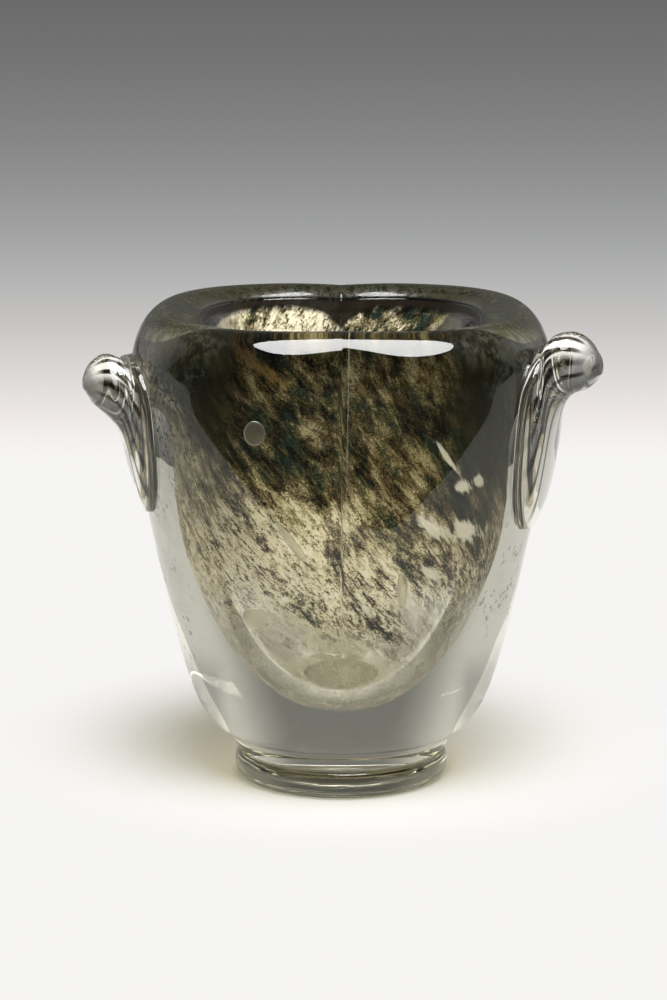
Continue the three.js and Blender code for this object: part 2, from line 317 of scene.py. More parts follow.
class ShaderTree:
    """The node tree of one material."""

    store: str = "materials"
    output: str = "ShaderNodeOutputMaterial"

    def __init__(self, name: str) -> None:
        """Makes an empty tree for a new owner of that name.

        Args:
            name: The owner's name.
        """
        self.owner = getattr(bpy.data, self.store).new(name)
        self.owner.use_nodes = True
        self.nodes = self.owner.node_tree.nodes
        self.links = self.owner.node_tree.links
        self.nodes.clear()

    def node(
        self,
        kind: str,
        settings: Mapping[str, Any] | None = None,
        inputs: Mapping[Union[str, int], Any] | None = None,
    ) -> bpy.types.ShaderNode:
        """Adds a node.

        Args:
            kind: The node's type.
            settings: Its own properties, which are set first.
            inputs: What goes into its sockets, by name or number: a signal, a socket or a value.

        Returns:
            The node.
        """
        node = self.nodes.new(kind)
        for key, value in (settings or {}).items():
            setattr(node, key, value)
        for key, value in (inputs or {}).items():
            source = value.socket if isinstance(value, Signal) else value
            if isinstance(source, bpy.types.NodeSocket):
                self.links.new(source, node.inputs[key])
            else:
                node.inputs[key].default_value = source
        return node

    def place(self) -> Track:
        """The place of a surface point in the frame."""
        return Track(self, self.node("ShaderNodeTexCoord").outputs["Object"])

    def value(self, name: str) -> Signal:
        """A value that the mesh carries at each of its points."""
        node = self.node("ShaderNodeAttribute", {"attribute_name": name})
        return Signal(self, node.outputs["Fac"])

    def cells(self, place: Track, size: float) -> Signal:
        """The distance to the nearest of many scattered seeds, as a share of the size."""
        node = self.node("ShaderNodeTexVoronoi", {}, {"Vector": place, "Scale": 1 / size})
        return Signal(self, node.outputs["Distance"])

    def blend(self, share: Operand, first: Any, second: Any) -> Signal:
        """Mixes two colours, with share 0 as the first."""
        node = self.node("ShaderNodeMix", {"data_type": "RGBA"}, {0: share, 6: first, 7: second})
        return Signal(self, node.outputs[2])

    def bump(self, height: Signal, depth: float) -> Signal:
        """A normal that leans with a height, of which 1 stands for the depth."""
        node = self.node("ShaderNodeBump", {}, {"Height": height, "Distance": depth})
        return Signal(self, node.outputs["Normal"])

    def switch(self, share: Operand, first: Any, second: Any) -> Signal:
        """Mixes two shaders, with share 0 as the first."""
        node = self.node("ShaderNodeMixShader", {}, {0: share, 1: first, 2: second})
        return Signal(self, node.outputs[0])

    def clear(self, colour: Colour) -> Signal:
        """A shader that lets light straight through, tinted."""
        node = self.node("ShaderNodeBsdfTransparent", {}, {"Color": colour})
        return Signal(self, node.outputs[0])

    def surface(self, inputs: Mapping[str, Any]) -> Signal:
        """The main surface shader, with those inputs."""
        return Signal(self, self.node("ShaderNodeBsdfPrincipled", {}, inputs).outputs[0])

    def plain(self, colour: Any, roughness: float) -> Signal:
        """A surface shader of one colour and roughness."""
        return self.surface({"Base Color": colour, "Roughness": roughness})

    def finish(self, shader: Signal) -> Union[bpy.types.Material, bpy.types.World]:
        """Sends a shader to the output and hands over the tree's owner."""
        self.node(self.output, {}, {"Surface": shader})
        return self.owner


class RoomTree(ShaderTree):
    """The node tree of a world, whose light comes from all round."""

    store: str = "worlds"
    output: str = "ShaderNodeOutputWorld"

    def direction(self) -> Track:
        """The direction that is looked into."""
        return Track(self, self.node("ShaderNodeTexCoord").outputs["Generated"])


@dataclass(frozen=True)
class Cloud:
    """A soft random pattern in the glass.

    Its size is about that of its largest spots. The detail is how many finer layers it has, and the
    roughness how strong each of them is. The shift makes it differ from others of the same size.
    """

    size: float
    detail: float = 2.0
    roughness: float = 0.5
    shift: Point = (0.0, 0.0, 0.0)
    middle: float = 0.5

    def read(self, place: Track) -> Signal:
        """Reads the pattern.

        Args:
            place: Where it is read.

        Returns:
            A value that swings about 0, between -0.5 and 0.5.
        """
        node = place.tree.node("ShaderNodeTexNoise", {}, {
            "Vector": place.shifted(self.shift) if any(self.shift) else place,
            "Scale": 1 / self.size,
            "Detail": self.detail,
            "Roughness": self.roughness,
        })
        return Signal(place.tree, node.outputs[0]) - self.middle


@dataclass(frozen=True)
class Zone:
    """A stretch of both flanks that fades in with the distance from the middle and the height."""

    reach: Span
    heights: Span
    share: float = 1.0

    def mask(self, place: Track) -> Signal:
        """How much a place belongs to the zone, up to the zone's share."""
        x, _, z = place.parts()
        return abs(x).rise(*self.reach) * z.rise(*self.heights) * self.share


@dataclass(frozen=True)
class Spot:
    """A rounded spot on the front, such as a lump of white glass or an air bubble."""

    x: float
    z: float
    half_width: float
    half_height: float
    lean: float = 0.0

    def distance(self, place: Track) -> Signal:
        """How far a point is from the middle.

        Args:
            place: The place of the point.

        Returns:
            The distance, 1 on the spot's outline and very large on the back.
        """
        x, y, z = place.parts()
        across = (x - self.x + (z - self.z) * self.lean) / self.half_width
        upward = (z - self.z) / self.half_height
        return (across * across + upward * upward) ** 0.5 + y.rise(*BEHIND) * FAR_OFF


@dataclass(frozen=True)
class SpotKind:
    """Spots of one colour among the coloured grains.

    The grains' clusters and the fine grains make their outlines ragged. The edge is where they fade
    in, as distances, and the share is how much they cover.
    """

    colour: Colour
    share: float
    edge: Span
    cluster_rag: float
    fine_rag: float
    spots: tuple[Spot, ...]

    def over(self, colour: Signal, place: Track, cluster: Signal, fine: Signal) -> Signal:
        """Lays the spots over the grains.

        Args:
            colour: The colour of the grains.
            place: The place of a point.
            cluster: The pattern of the clusters there.
            fine: The pattern of the fine grains there.

        Returns:
            The colour with the spots.
        """
        rag = cluster * self.cluster_rag + fine * self.fine_rag
        for spot in self.spots:
            share = (spot.distance(place) + rag).rise(*self.edge) * self.share
            colour = place.tree.blend(share, colour, self.colour)
        return colour


OCHRE_VEIL = SpotKind(
    paint("97794a"), share=0.6, edge=(1.6, 0.2), cluster_rag=3.0, fine_rag=4.0,
    spots=(Spot(-0.0310, 0.1490, 0.0026, 0.0070, 1.5),),
)
CHALK_LUMPS = SpotKind(
    paint("f4f0e4"), share=0.75, edge=(1.2, 0.4), cluster_rag=2.4, fine_rag=1.6,
    spots=(
        Spot(0.0265, 0.0945, 0.0036, 0.0046, 0.7), Spot(0.0345, 0.0925, 0.0026, 0.0036),
        Spot(0.0305, 0.1185, 0.0007, 0.0060, 0.5), Spot(0.0345, 0.1075, 0.0016, 0.0022),
        Spot(0.0375, 0.1090, 0.0011, 0.0018), Spot(0.0190, 0.0730, 0.0014, 0.0058),
        Spot(-0.0165, 0.0900, 0.0020, 0.0070, 0.7), Spot(-0.0175, 0.0700, 0.0013, 0.0019),
        Spot(0.0090, 0.0665, 0.0016, 0.0030, 0.6), Spot(0.0255, 0.0790, 0.0018, 0.0034, 0.5),
    ),
)
AIR_BUBBLES = (
    Spot(-0.0270, 0.1270, 0.0032, 0.0040), Spot(-0.0262, 0.0640, 0.0040, 0.0038),
    Spot(0.0190, 0.0745, 0.0015, 0.0060), Spot(-0.0160, 0.0905, 0.0015, 0.0064, 0.6),
)


@dataclass(frozen=True)
class ClearGlass:
    """Fire-polished clear glass with faint ripples from the tools that shaped it."""

    name: str
    tint: Colour
    shade: Colour
    roughness: float = 0.0
    refraction: float = 1.5
    ripple: Cloud = Cloud(0.012)
    ripple_depth: float = 0.00004

    def colour(self, place: Track) -> Union[Signal, Colour]:
        """The colour of the glass at a place."""
        return self.tint

    def marked(self, place: Track, glass: Signal) -> Signal:
        """The shader of the glass with its marks, of which the plain glass has none."""
        return glass

    def build(self, fused: Callable[[Track], Signal] | None = None) -> bpy.types.Material:
        """Makes the material.

        Args:
            fused: Gives a mask of where another piece is fused on, so that no surface is there.

        Returns:
            The material.
        """
        tree = ShaderTree(self.name)
        place = tree.place()
        glass = self.marked(place, tree.surface({
            "Base Color": self.colour(place),
            "Roughness": self.roughness,
            "IOR": self.refraction,
            "Transmission Weight": 1.0,
            "Normal": tree.bump(self.ripple.read(place), self.ripple_depth),
        }))
        if fused is not None:
            glass = tree.switch(fused(place), glass, tree.clear(WHITE))
        shadow_ray = tree.node("ShaderNodeLightPath").outputs["Is Shadow Ray"]
        return tree.finish(tree.switch(shadow_ray, glass, tree.clear(self.shade)))


@dataclass(frozen=True)
class HandleGlassWithPaintedReflections(ClearGlass):
    """The handles' clear glass, with painted dark reflections and painted highlights in lines along
    the pull.
    """

    # The dark lines are painted dark reflections and the pale ones painted highlights, in place of
    # what ridged glass would mirror and bend.
    painted_dark_reflection: Colour = paint("3a3a30")
    painted_highlight: Colour = paint("f6f3ec")
    painted_highlight_share: float = 0.45
    painted_highlight_roughness: float = 0.15

    def colour(self, place: Track) -> Signal:
        """The tint, darker along the lines of painted dark reflection."""
        return place.tree.blend(place.tree.value(LINES).at_least(0.0), self.tint, self.painted_dark_reflection)

    def marked(self, place: Track, glass: Signal) -> Signal:
        """Adds the painted highlights.

        Args:
            place: The place of a point.
            glass: The shader of the plain glass.

        Returns:
            The shader of the glass with its painted highlights.
        """
        tree = place.tree
        pale = (-1 * tree.value(LINES)).at_least(0.0) * self.painted_highlight_share
        return tree.switch(pale, glass, tree.plain(self.painted_highlight, self.painted_highlight_roughness))


@dataclass(frozen=True)
class CasingGlass(ClearGlass):
    """The casing's clear glass: darker towards the lip, creased in front with a painted highlight,
    painted shade at the lower edges and partly at the base, and stray grains.
    """

    base_tint_and_shade: Colour = paint("c6c2ac")
    base_heights: Span = (0.034, 0.012)
    base_share: float = 0.1
    side_tint: Colour = paint("8e9282")
    side_strip: Zone = Zone((0.048, 0.056), (0.045, 0.065))
    side_cloud: Span = (-0.15, 0.10)
    side_shares: Span = (0.1, 0.4)
    edge_shade: Colour = paint("8a857c")
    low_edge_shade: Zone = Zone((0.036, 0.043), (0.054, 0.038), 0.9)
    dark_tint: Colour = paint("3f3d22")
    dark_cloud: Cloud = Cloud(0.012, 3.0, 0.6)
    dark_wander: float = 0.016
    dark_heights: Span = (0.086, 0.146)
    dark_reach: Span = (0.018, 0.052)
    dark_shares: Span = (0.25, 1.0)
    light_shoulder: Zone = Zone((0.046, 0.055), (0.150, 0.138), 0.55)
    lip_dark_tint: Colour = paint("262515")
    lip_heights: Span = (0.146, 0.154)
    lip_depths: Span = (-0.045, -0.02)
    crease_highlight_colour: Colour = paint("c9c4b0")
    crease_roughness: float = 0.7
    crease_share: float = 0.22
    crease_lean: float = 0.015
    crease_cloud: Cloud = Cloud(0.006)
    crease_wander: float = 0.0006
    crease_edge: Span = (0.00022, 0.00004)
    crease_heights: Span = (0.02, 0.05)
    veil_roughness: float = 0.35
    veil_heights: Span = (0.144, 0.154)
    veil_reach: Span = (0.032, 0.046)
    veiled_shoulder: Zone = Zone((0.040, 0.056), (0.104, 0.138), 0.55)
    streak_cloud: Cloud = Cloud(0.0024, 3.0, 0.7)
    streak_draw: float = 0.35
    streak_edge: Span = (-0.10, 0.10)
    streak_shares: Span = (0.16, 0.88)
    speck_colour: Colour = paint("1c2a24")
    speck_roughness: float = 0.6
    speck_share: float = 0.9
    speck_cloud: Cloud = Cloud(0.0016, 3.0, 0.7, (0.3, 0.1, 0.2))
    speck_edge: Span = (0.03, 0.07)
    speck_patch: Cloud = Cloud(0.009)
    cluster_places: Window = (-0.063, -0.060, -0.050, -0.046)
    cluster_heights: Window = (0.112, 0.124, 0.142, 0.152)
    cluster_patch: Span = (-0.10, 0.02)
    stray_flank: Zone = Zone((0.040, 0.044), (0.040, 0.050), 0.5)
    stray_patch: Span = (0.06, 0.12)

    def colour(self, place: Track) -> Signal:
        """The tint, darker towards the lip and lower down on the flanks than in the middle, with
        painted shade at the lower edges and partly at the base.

        Args:
            place: The place of a point.

        Returns:
            The tint there.
        """
        blend = place.tree.blend
        x, y, z = place.parts()
        cloud = self.dark_cloud.read(place)
        # The base is a little darker: partly the thick glass's own tint, partly painted shade.
        tint = blend(z.rise(*self.base_heights) * self.base_share, self.tint, self.base_tint_and_shade)
        streaks = cloud.rise(*self.side_cloud).part_way(*self.side_shares)
        tint = blend(self.side_strip.mask(place) * streaks, tint, self.side_tint)
        # Painted shade: the lower edges of the flanks are darkened.
        tint = blend(self.low_edge_shade.mask(place), tint, self.edge_shade)
        height = (z + cloud * self.dark_wander).rise(*self.dark_heights)
        flank = abs(x).rise(*self.dark_reach).part_way(*self.dark_shares)
        tint = blend(height * flank * (1.0 - self.light_shoulder.mask(place)), tint, self.dark_tint)
        lip = z.rise(*self.lip_heights) * y.rise(*self.lip_depths)
        return blend(lip, tint, self.lip_dark_tint)

    def marked(self, place: Track, glass: Signal) -> Signal:
        """Adds the painted highlight along the crease, the dark olive veil and the stray grains.

        Args:
            place: The place of a point.
            glass: The shader of the plain glass.

        Returns:
            The shader of the marked glass.
        """
        tree = place.tree
        for share, colour, roughness in (
            (self.crease_highlight(place), self.crease_highlight_colour, self.crease_roughness),
            (self.veil(place), self.lip_dark_tint, self.veil_roughness),
            (self.specks(place), self.speck_colour, self.speck_roughness),
        ):
            glass = tree.switch(share, glass, tree.plain(colour, roughness))
        return glass

    def crease_highlight(self, place: Track) -> Signal:
        """A mask of the painted highlight: a fine pale line down the front, where the fold is
        tightest.

        Args:
            place: The place of a point.

        Returns:
            The share of the line's colour.
        """
        # Painted highlight: a fine pale line along the front crease.
        x, y, z = place.parts()
        wander = self.crease_cloud.read(place) * self.crease_wander
        line = abs(x - z * self.crease_lean + wander).rise(*self.crease_edge)
        in_front = y.maths("LESS_THAN", y, 0.0)
        return line * in_front * z.rise(*self.crease_heights) * self.crease_share

    def veil(self, place: Track) -> Signal:
        """A mask of the streaky dark olive patches inside the shoulders and the back of the lip.

        Args:
            place: The place of a point.

        Returns:
            The share of smoke.
        """
        x, y, z = place.parts()
        drawn = place.maths("MULTIPLY", place, (1.0, 1.0, self.streak_draw))
        streak = self.streak_cloud.read(drawn).rise(*self.streak_edge)
        lip = y.rise(*self.lip_depths).at_least(abs(x).rise(*self.veil_reach))
        smoky = self.veiled_shoulder.mask(place).at_least(lip * z.rise(*self.veil_heights))
        return smoky * streak.part_way(*self.streak_shares)

    def specks(self, place: Track) -> Signal:
        """A mask of stray grains: a cluster on the left shoulder and a few on both flanks.

        Args:
            place: The place of a point.

        Returns:
            The share of a grain's colour.
        """
        x, y, z = place.parts()
        patch = self.speck_patch.read(place)
        grain = self.speck_cloud.read(place).rise(*self.speck_edge)
        cluster = x.inside(self.cluster_places) * z.inside(self.cluster_heights)
        cluster = cluster * patch.rise(*self.cluster_patch)
        flank = self.stray_flank.mask(place) * patch.rise(*self.stray_patch)
        return grain * cluster.at_least(flank) * (1.0 - y.rise(*BEHIND)) * self.speck_share


@dataclass(frozen=True)
class FusedSeam:
    """The see-through face between two pieces of glass that are fused."""

    name: str = "fused_seam"

    def build(self) -> bpy.types.Material:
        """Makes the material."""
        tree = ShaderTree(self.name)
        return tree.finish(tree.clear(WHITE))


@dataclass(frozen=True)
class DrawnGrain:
    """The slanting path along which the hot coloured grains were drawn out.

    The grains run down to the right at the bottom and turn upright towards the mouth.
    """

    low_twist: float = 27.0
    twist_fade: float = 50.0
    draw_share: float = 0.42

    def along(self, place: Track) -> Track:
        """Unwinds the drawn-out grains.

        Args:
            place: The real place.

        Returns:
            The place before the glass was twisted and drawn.
        """
        height = place.parts()[2]
        turned = place.turned(height * (self.low_twist - height * self.twist_fade))
        return turned.maths("MULTIPLY", turned, (1.0, 1.0, self.draw_share))


@dataclass(frozen=True)
class GrainReading:
    """What the patterns of the coloured layer read at a place.

    The upper value is 1 in the dense, dark part and 0 in the pale one, and the flank value is 1 on
    both flanks.
    """

    place: Track
    drawn: Track
    fine: Signal
    cluster: Signal
    patch: Signal
    upper: Signal
    flank: Signal


@dataclass(frozen=True)
class MottledGrains:
    """The outer face of the coloured layer: cream glass full of dark, ochre and white grains.

    The layer is dense and dark above a slanting line, lower in front than at the back, and it
    thins out towards the bottom. A grain's depth says how dark it is. The swings say how much each
    pattern changes the depth, in the pale part and in the dark one, and the right depths how much
    it changes with X, low down and higher up.
    """

    name: str = "mottled_grains"
    grain: DrawnGrain = DrawnGrain()
    roughness: float = 0.55
    relief: float = 0.0003
    fine: Cloud = Cloud(0.0011, 3.0, 0.72)
    speck: Cloud = Cloud(0.0005, 1.0)
    cluster: Cloud = Cloud(0.0042, 3.0, 0.6, (0.31, 0.17, 0.05))
    patch: Cloud = Cloud(0.017, shift=(0.11, 0.43, 0.29))
    hue: Cloud = Cloud(0.0042, shift=(0.71, 0.13, 0.59))
    slant: float = 0.9
    side_slant: float = 0.34
    patch_wander: float = 0.05
    cluster_wander: float = 0.03
    dark_levels: Span = (0.094, 0.134)
    flank_reach: Span = (0.029, 0.044)
    fine_swings: Span = (3.2, 1.7)
    cluster_swings: Span = (1.6, 2.5)
    patch_swings: Span = (0.7, 1.8)
    speck_swing: float = 1.3
    flank_calm: float = 0.5
    upper_calm: float = 0.48
    pale_depth: float = 0.27
    upper_depth: float = 0.49
    flank_depth: float = 0.14
    right_heights: Span = (0.045, 0.060)
    right_depths: Span = (-2.0, 3.5)
    right_shares: Span = (1.0, 0.35)
    warm_hues: Span = (-0.06, 0.06)
    milk: Colour = paint("ebe2c6")
    cream: Colour = paint("d9cfac")
    cream_depths: Span = (0.0, 0.16)
    khaki: Colour = paint("9c9270")
    ochre: Colour = paint("746646")
    khaki_depths: Span = (0.18, 0.42)
    olive: Colour = paint("504a30")
    umber: Colour = paint("3a321f")
    olive_depths: Span = (0.46, 0.68)
    moss: Colour = paint("1d2a24")
    black: Colour = paint("0f100b")
    black_depths: Span = (0.7, 0.92)
    dark_tint: Colour = paint("57543f")
    smoky_flank: Zone = Zone((0.029, 0.044), (0.07, 0.10), 0.6)
    fleck_size: float = 0.0034
    fleck_shift: Point = (0.23, 0.61, 0.37)
    fleck_edge: Span = (0.22, 0.10)
    fleck_clusters: Span = (-0.05, 0.05)
    fleck_share: float = 0.85
    haze: Colour = paint("bdb8a4")
    haze_heights: Span = (0.018, 0.028)
    haze_share: float = 0.34
    haze_cluster: float = 1.1
    haze_fine: float = 0.5
    cover_heights: Span = (0.042, 0.070)
    cover_patch: float = 0.04
    cover_cluster: float = 0.03
    solid_depths: Span = (0.1, 0.75)
    solid_shares: Span = (0.6, 1.0)
    thin_flank: Zone = Zone((0.016, 0.028), (0.084, 0.056), 0.7)

    def read(self, place: Track) -> GrainReading:
        """Reads the patterns.

        Args:
            place: The place of a point.

        Returns:
            What they say there.
        """
        x, y, z = place.parts()
        drawn = self.grain.along(place)
        cluster = self.cluster.read(drawn)
        patch = self.patch.read(drawn)
        level = z - y * self.slant + x * self.side_slant
        level = level + patch * self.patch_wander + cluster * self.cluster_wander
        upper = level.rise(*self.dark_levels)
        flank = abs(x).rise(*self.flank_reach)
        return GrainReading(place, drawn, self.fine.read(drawn), cluster, patch, upper, flank)

    def depth(self, at: GrainReading) -> Signal:
        """How dark the grains are, before the flecks and lumps.

        Args:
            at: What the patterns read.

        Returns:
            The depth, 0 for milk white and 1 for black.
        """
        x, _, z = at.place.parts()
        swing = self.speck.read(at.place) * self.speck_swing
        swing = swing + at.fine * at.upper.part_way(*self.fine_swings)
        swing = swing + at.cluster * at.upper.part_way(*self.cluster_swings)
        swing = swing + at.patch * at.upper.part_way(*self.patch_swings)
        contrast = 1.0 - at.flank * self.flank_calm - at.upper * self.upper_calm
        right = x * z.rise(*self.right_heights).part_way(*self.right_depths)
        right = right * at.upper.part_way(*self.right_shares)
        average = at.upper * self.upper_depth + at.flank * self.flank_depth + self.pale_depth
        return swing * contrast + average + right

    def colour(self, at: GrainReading, depth: Signal) -> Signal:
        """The colour of the grains, flecks and lumps.

        Args:
            at: What the patterns read.
            depth: How dark the grains are.

        Returns:
            The colour.
        """
        blend = at.place.tree.blend
        warm = self.hue.read(at.drawn).rise(*self.warm_hues)
        colour = blend(depth.rise(*self.cream_depths), self.milk, self.cream)
        for span, cool_tone, warm_tone in (
            (self.khaki_depths, self.khaki, self.ochre),
            (self.olive_depths, self.olive, self.umber),
            (self.black_depths, self.moss, self.black),
        ):
            colour = blend(depth.rise(*span), colour, blend(warm, cool_tone, warm_tone))
        colour = blend(self.smoky_flank.mask(at.place), colour, self.dark_tint)
        seeds = at.place.tree.cells(at.drawn.shifted(self.fleck_shift), self.fleck_size)
        flecks = seeds.rise(*self.fleck_edge) * at.cluster.rise(*self.fleck_clusters)
        colour = blend(flecks * (1.0 - at.flank) * self.fleck_share, colour, self.moss)
        for kind in (OCHRE_VEIL, CHALK_LUMPS):
            colour = kind.over(colour, at.place, at.cluster, at.fine)
        return colour

    def build(self) -> bpy.types.Material:
        """Makes the material.

        Returns:
            The material.
        """
        tree = ShaderTree(self.name)
        at = self.read(tree.place())
        z = at.place.parts()[2]
        depth = self.depth(at)
        ragged = z + at.patch * self.cover_patch + at.cluster * self.cover_cluster
        cover = ragged.rise(*self.cover_heights)
        solid = depth.rise(*self.solid_depths).part_way(*self.solid_shares)
        solid = solid * (1.0 - self.thin_flank.mask(at.place))
        haze = at.cluster * self.haze_cluster + at.fine * self.haze_fine + self.haze_share
        alpha = (cover * solid).at_least(haze * z.rise(*self.haze_heights)).at_most(1.0)
        return tree.finish(tree.surface({
            "Base Color": tree.blend(cover, self.haze, self.colour(at, depth)),
            "Roughness": self.roughness,
            "Specular IOR Level": 0.0,
            "Alpha": alpha,
            "Normal": tree.bump(at.fine, self.relief),
        }))


@dataclass(frozen=True)
class SmokyOverlay:
    """The inner face of the coloured layer: smoky dark glass that stops at a slanting dip line.

    At the back of the mouth its brown edge runs along two flat arches.
    """

    name: str = "smoky_overlay"
    grain: DrawnGrain = DrawnGrain()
    roughness: float = 0.6
    cloud: Cloud = Cloud(0.004, 3.0, 0.6)
    dark_tint: Colour = paint("1a150b")
    moss: Colour = paint("2c2a18")
    moss_cloud: Span = (-0.10, 0.15)
    dip_height: float = 0.128
    dip_edge: Span = (-0.006, 0.006)
    slant: float = 0.9
    density: float = 0.6
    thin_cloud: Span = (0.0, 0.2)
    thin_share: float = 0.4
    brown: Colour = paint("1b150d")
    brown_share: float = 0.92
    back_depths: Span = (0.0, 0.01)
    arch_height: float = 0.1532
    arch_drop: float = 0.006
    arch_middle: float = 0.0232
    arch_half_width: float = 0.0226
    arch_flatness: float = 4.0
    arch_wander: float = 0.002
    arch_edge: Span = (-0.0007, 0.0007)

    def build(self) -> bpy.types.Material:
        """Makes the material.

        Returns:
            The material.
        """
        tree = ShaderTree(self.name)
        place = tree.place()
        x, y, z = place.parts()
        cloud = self.cloud.read(self.grain.along(place))
        off_middle = abs((abs(x) - self.arch_middle) / self.arch_half_width)
        above_arch = z - self.arch_height + off_middle ** self.arch_flatness * self.arch_drop
        edge = (above_arch + cloud * self.arch_wander).rise(*self.arch_edge)
        edge = edge * y.rise(*self.back_depths)
        dipped = (z - y * self.slant - self.dip_height).rise(*self.dip_edge)
        density = self.density - cloud.rise(*self.thin_cloud) * self.thin_share
        colour = tree.blend(cloud.rise(*self.moss_cloud), self.dark_tint, self.moss)
        return tree.finish(tree.surface({
            "Base Color": tree.blend(edge, colour, self.brown),
            "Roughness": self.roughness,
            "Specular IOR Level": 0.0,
            "Alpha": (dipped * density).at_least(edge * self.brown_share),
        }))


@dataclass(frozen=True)
class PaperSweep:
    """The white paper table: lit near the vase, glowing with painted light further off, darker far
    behind, and dark past its front edge.

    Only the glass sees the dark room past the front edge, so that the picture stays pale.
    """

    name: str = "paper_sweep"
    lit: Colour = paint("b6b5b2")
    glow: Colour = paint("fffefc")
    warm_glow: Colour = paint("fffaf7")
    far_glow: Colour = paint("feffff")
    room: Colour = paint("1c1c1c")
    roughness: float = 0.9
    tooth: Cloud = Cloud(0.02)
    tooth_depth: float = 0.0001
    front_edge: float = -0.235
    shadow_depth: float = 0.035
    shadow_radii: Span = (0.05, 0.13)
    fall_start: float = 0.52
    fall_rate: float = 2.1
    fall_power: float = 1.55
    warm_fall: Span = (0.0, 0.10)
    cool_fall: Span = (0.25, 0.6)
    near_level: float = 0.92
    far_level: float = 0.09

    def build(self) -> bpy.types.Material:
        """Makes the material.

        Returns:
            The material.
        """
        tree = ShaderTree(self.name)
        place = tree.place()
        x, y, _ = place.parts()
        paper = tree.surface({
            "Base Color": self.lit,
            "Roughness": self.roughness,
            "Specular IOR Level": 0.0,
            "Normal": tree.bump(self.tooth.read(place), self.tooth_depth),
        })
        # Further from the vase the paper glows instead of being lit: painted light that fades with
        # the distance behind.
        past = (y - self.fall_start).at_least(0.0)
        fall = 1.0 + (past * self.fall_rate) ** self.fall_power
        level = (self.near_level - self.far_level) / fall + self.far_level
        warmth = tree.blend(past.rise(*self.warm_fall), self.glow, self.warm_glow)
        warmth = tree.blend(past.rise(*self.cool_fall), warmth, self.far_glow)
        glow = tree.node("ShaderNodeEmission", {}, {"Color": warmth, "Strength": level})
        away = (x * x + (y - self.shadow_depth) ** 2.0) ** 0.5
        seen = tree.switch(away.rise(*self.shadow_radii), paper, glow.outputs[0])
        camera_ray = Signal(tree, tree.node("ShaderNodeLightPath").outputs["Is Camera Ray"])
        dark = y.maths("LESS_THAN", y, self.front_edge) * (1.0 - camera_ray)
        return tree.finish(tree.switch(dark, seen, tree.plain(self.room, self.roughness)))


@dataclass
class RingMesh:
    """A closed skin made of chains of rings, each of which starts and ends in a single point."""

    name: str
    rings: list[np.ndarray] = field(default_factory=list)
    slots: list[int] = field(default_factory=list)

    def add(self, rings: Iterable[np.ndarray], slot: int) -> "RingMesh":
        """Adds rings to the chain.

        Args:
            rings: Arrays of points, each with as many as the others, or a single point.
            slot: The material slot of the bands that end at them.

        Returns:
            The skin itself.
        """
        for ring in rings:
            self.rings.append(ring)
            self.slots.append(slot)
        return self

    def faces(self) -> tuple[list[tuple[int, ...]], list[int]]:
        """Works out the faces between the rings.

        There are none between two single points, where a new chain starts.

        Returns:
            The faces as point numbers, and the slot of each.
        """
        faces: list[tuple[int, ...]] = []
        slots: list[int] = []
        start = 0
        for low, high, slot in zip(self.rings, self.rings[1:], self.slots[1:]):
            top = start + len(low)
            sides = max(len(low), len(high))
            for side in range(sides if sides > 1 else 0):
                below = [start + turn % len(low) for turn in (side, side + 1)]
                above = [top + turn % len(high) for turn in (side + 1, side)]
                faces.append(tuple(dict.fromkeys(below + above)))
                slots.append(slot)
            start = top
        return faces, slots

    def build(self, materials: Sequence[bpy.types.Material]) -> bpy.types.Object:
        """Makes the object.

        Args:
            materials: The material of each slot.

        Returns:
            The object, smooth all over.
        """
        faces, slots = self.faces()
        mesh = bpy.data.meshes.new(self.name)
        mesh.from_pydata(np.concatenate(self.rings).tolist(), [], faces)
        for material in materials:
            mesh.materials.append(material)
        mesh.polygons.foreach_set("material_index", slots)
        mesh.polygons.foreach_set("use_smooth", [True] * len(faces))
        mesh.update()
        piece = bpy.data.objects.new(self.name, mesh)
        bpy.context.scene.collection.objects.link(piece)
        return piece


def spline(points: np.ndarray, count: int, end_slope: np.ndarray | None = None) -> np.ndarray:
    """Runs a curve with an even bend through points.

    Args:
        points: The points, one in each row.
        count: How many points the curve gets.
        end_slope: The direction in which it leaves the last point, if that is fixed.

    Returns:
        The curve's points, evenly spaced along the chords.
    """
    steps = np.linalg.norm(np.diff(points, axis=0), axis=1)
    places = np.concatenate([[0], np.cumsum(steps)])
    size = len(points)
    matrix = np.zeros((size, size))
    target = np.zeros_like(points)
    for row in range(1, size - 1):
        before, after = steps[row - 1], steps[row]
        matrix[row, row - 1:row + 2] = before, 2 * (before + after), after
        target[row] = 6 * (
            (points[row + 1] - points[row]) / after - (points[row] - points[row - 1]) / before
        )
    matrix[0, 0] = 1
    matrix[-1, -1] = 1
    if end_slope is not None:
        matrix[-1, -2:] = steps[-1], 2 * steps[-1]
        target[-1] = 6 * (end_slope - (points[-1] - points[-2]) / steps[-1])
    bends = np.linalg.solve(matrix, target)
    wanted = np.linspace(0, places[-1], count)
    index = np.clip(np.searchsorted(places, wanted) - 1, 0, size - 2)
    step = steps[index][:, None]
    ahead = (wanted - places[index])[:, None]
    behind = step - ahead
    low, high = bends[index], bends[index + 1]
    return (
        (low * behind ** 3 + high * ahead ** 3) / (6 * step)
        + (points[index] / step - low * step / 6) * behind
        + (points[index + 1] / step - high * step / 6) * ahead
    )


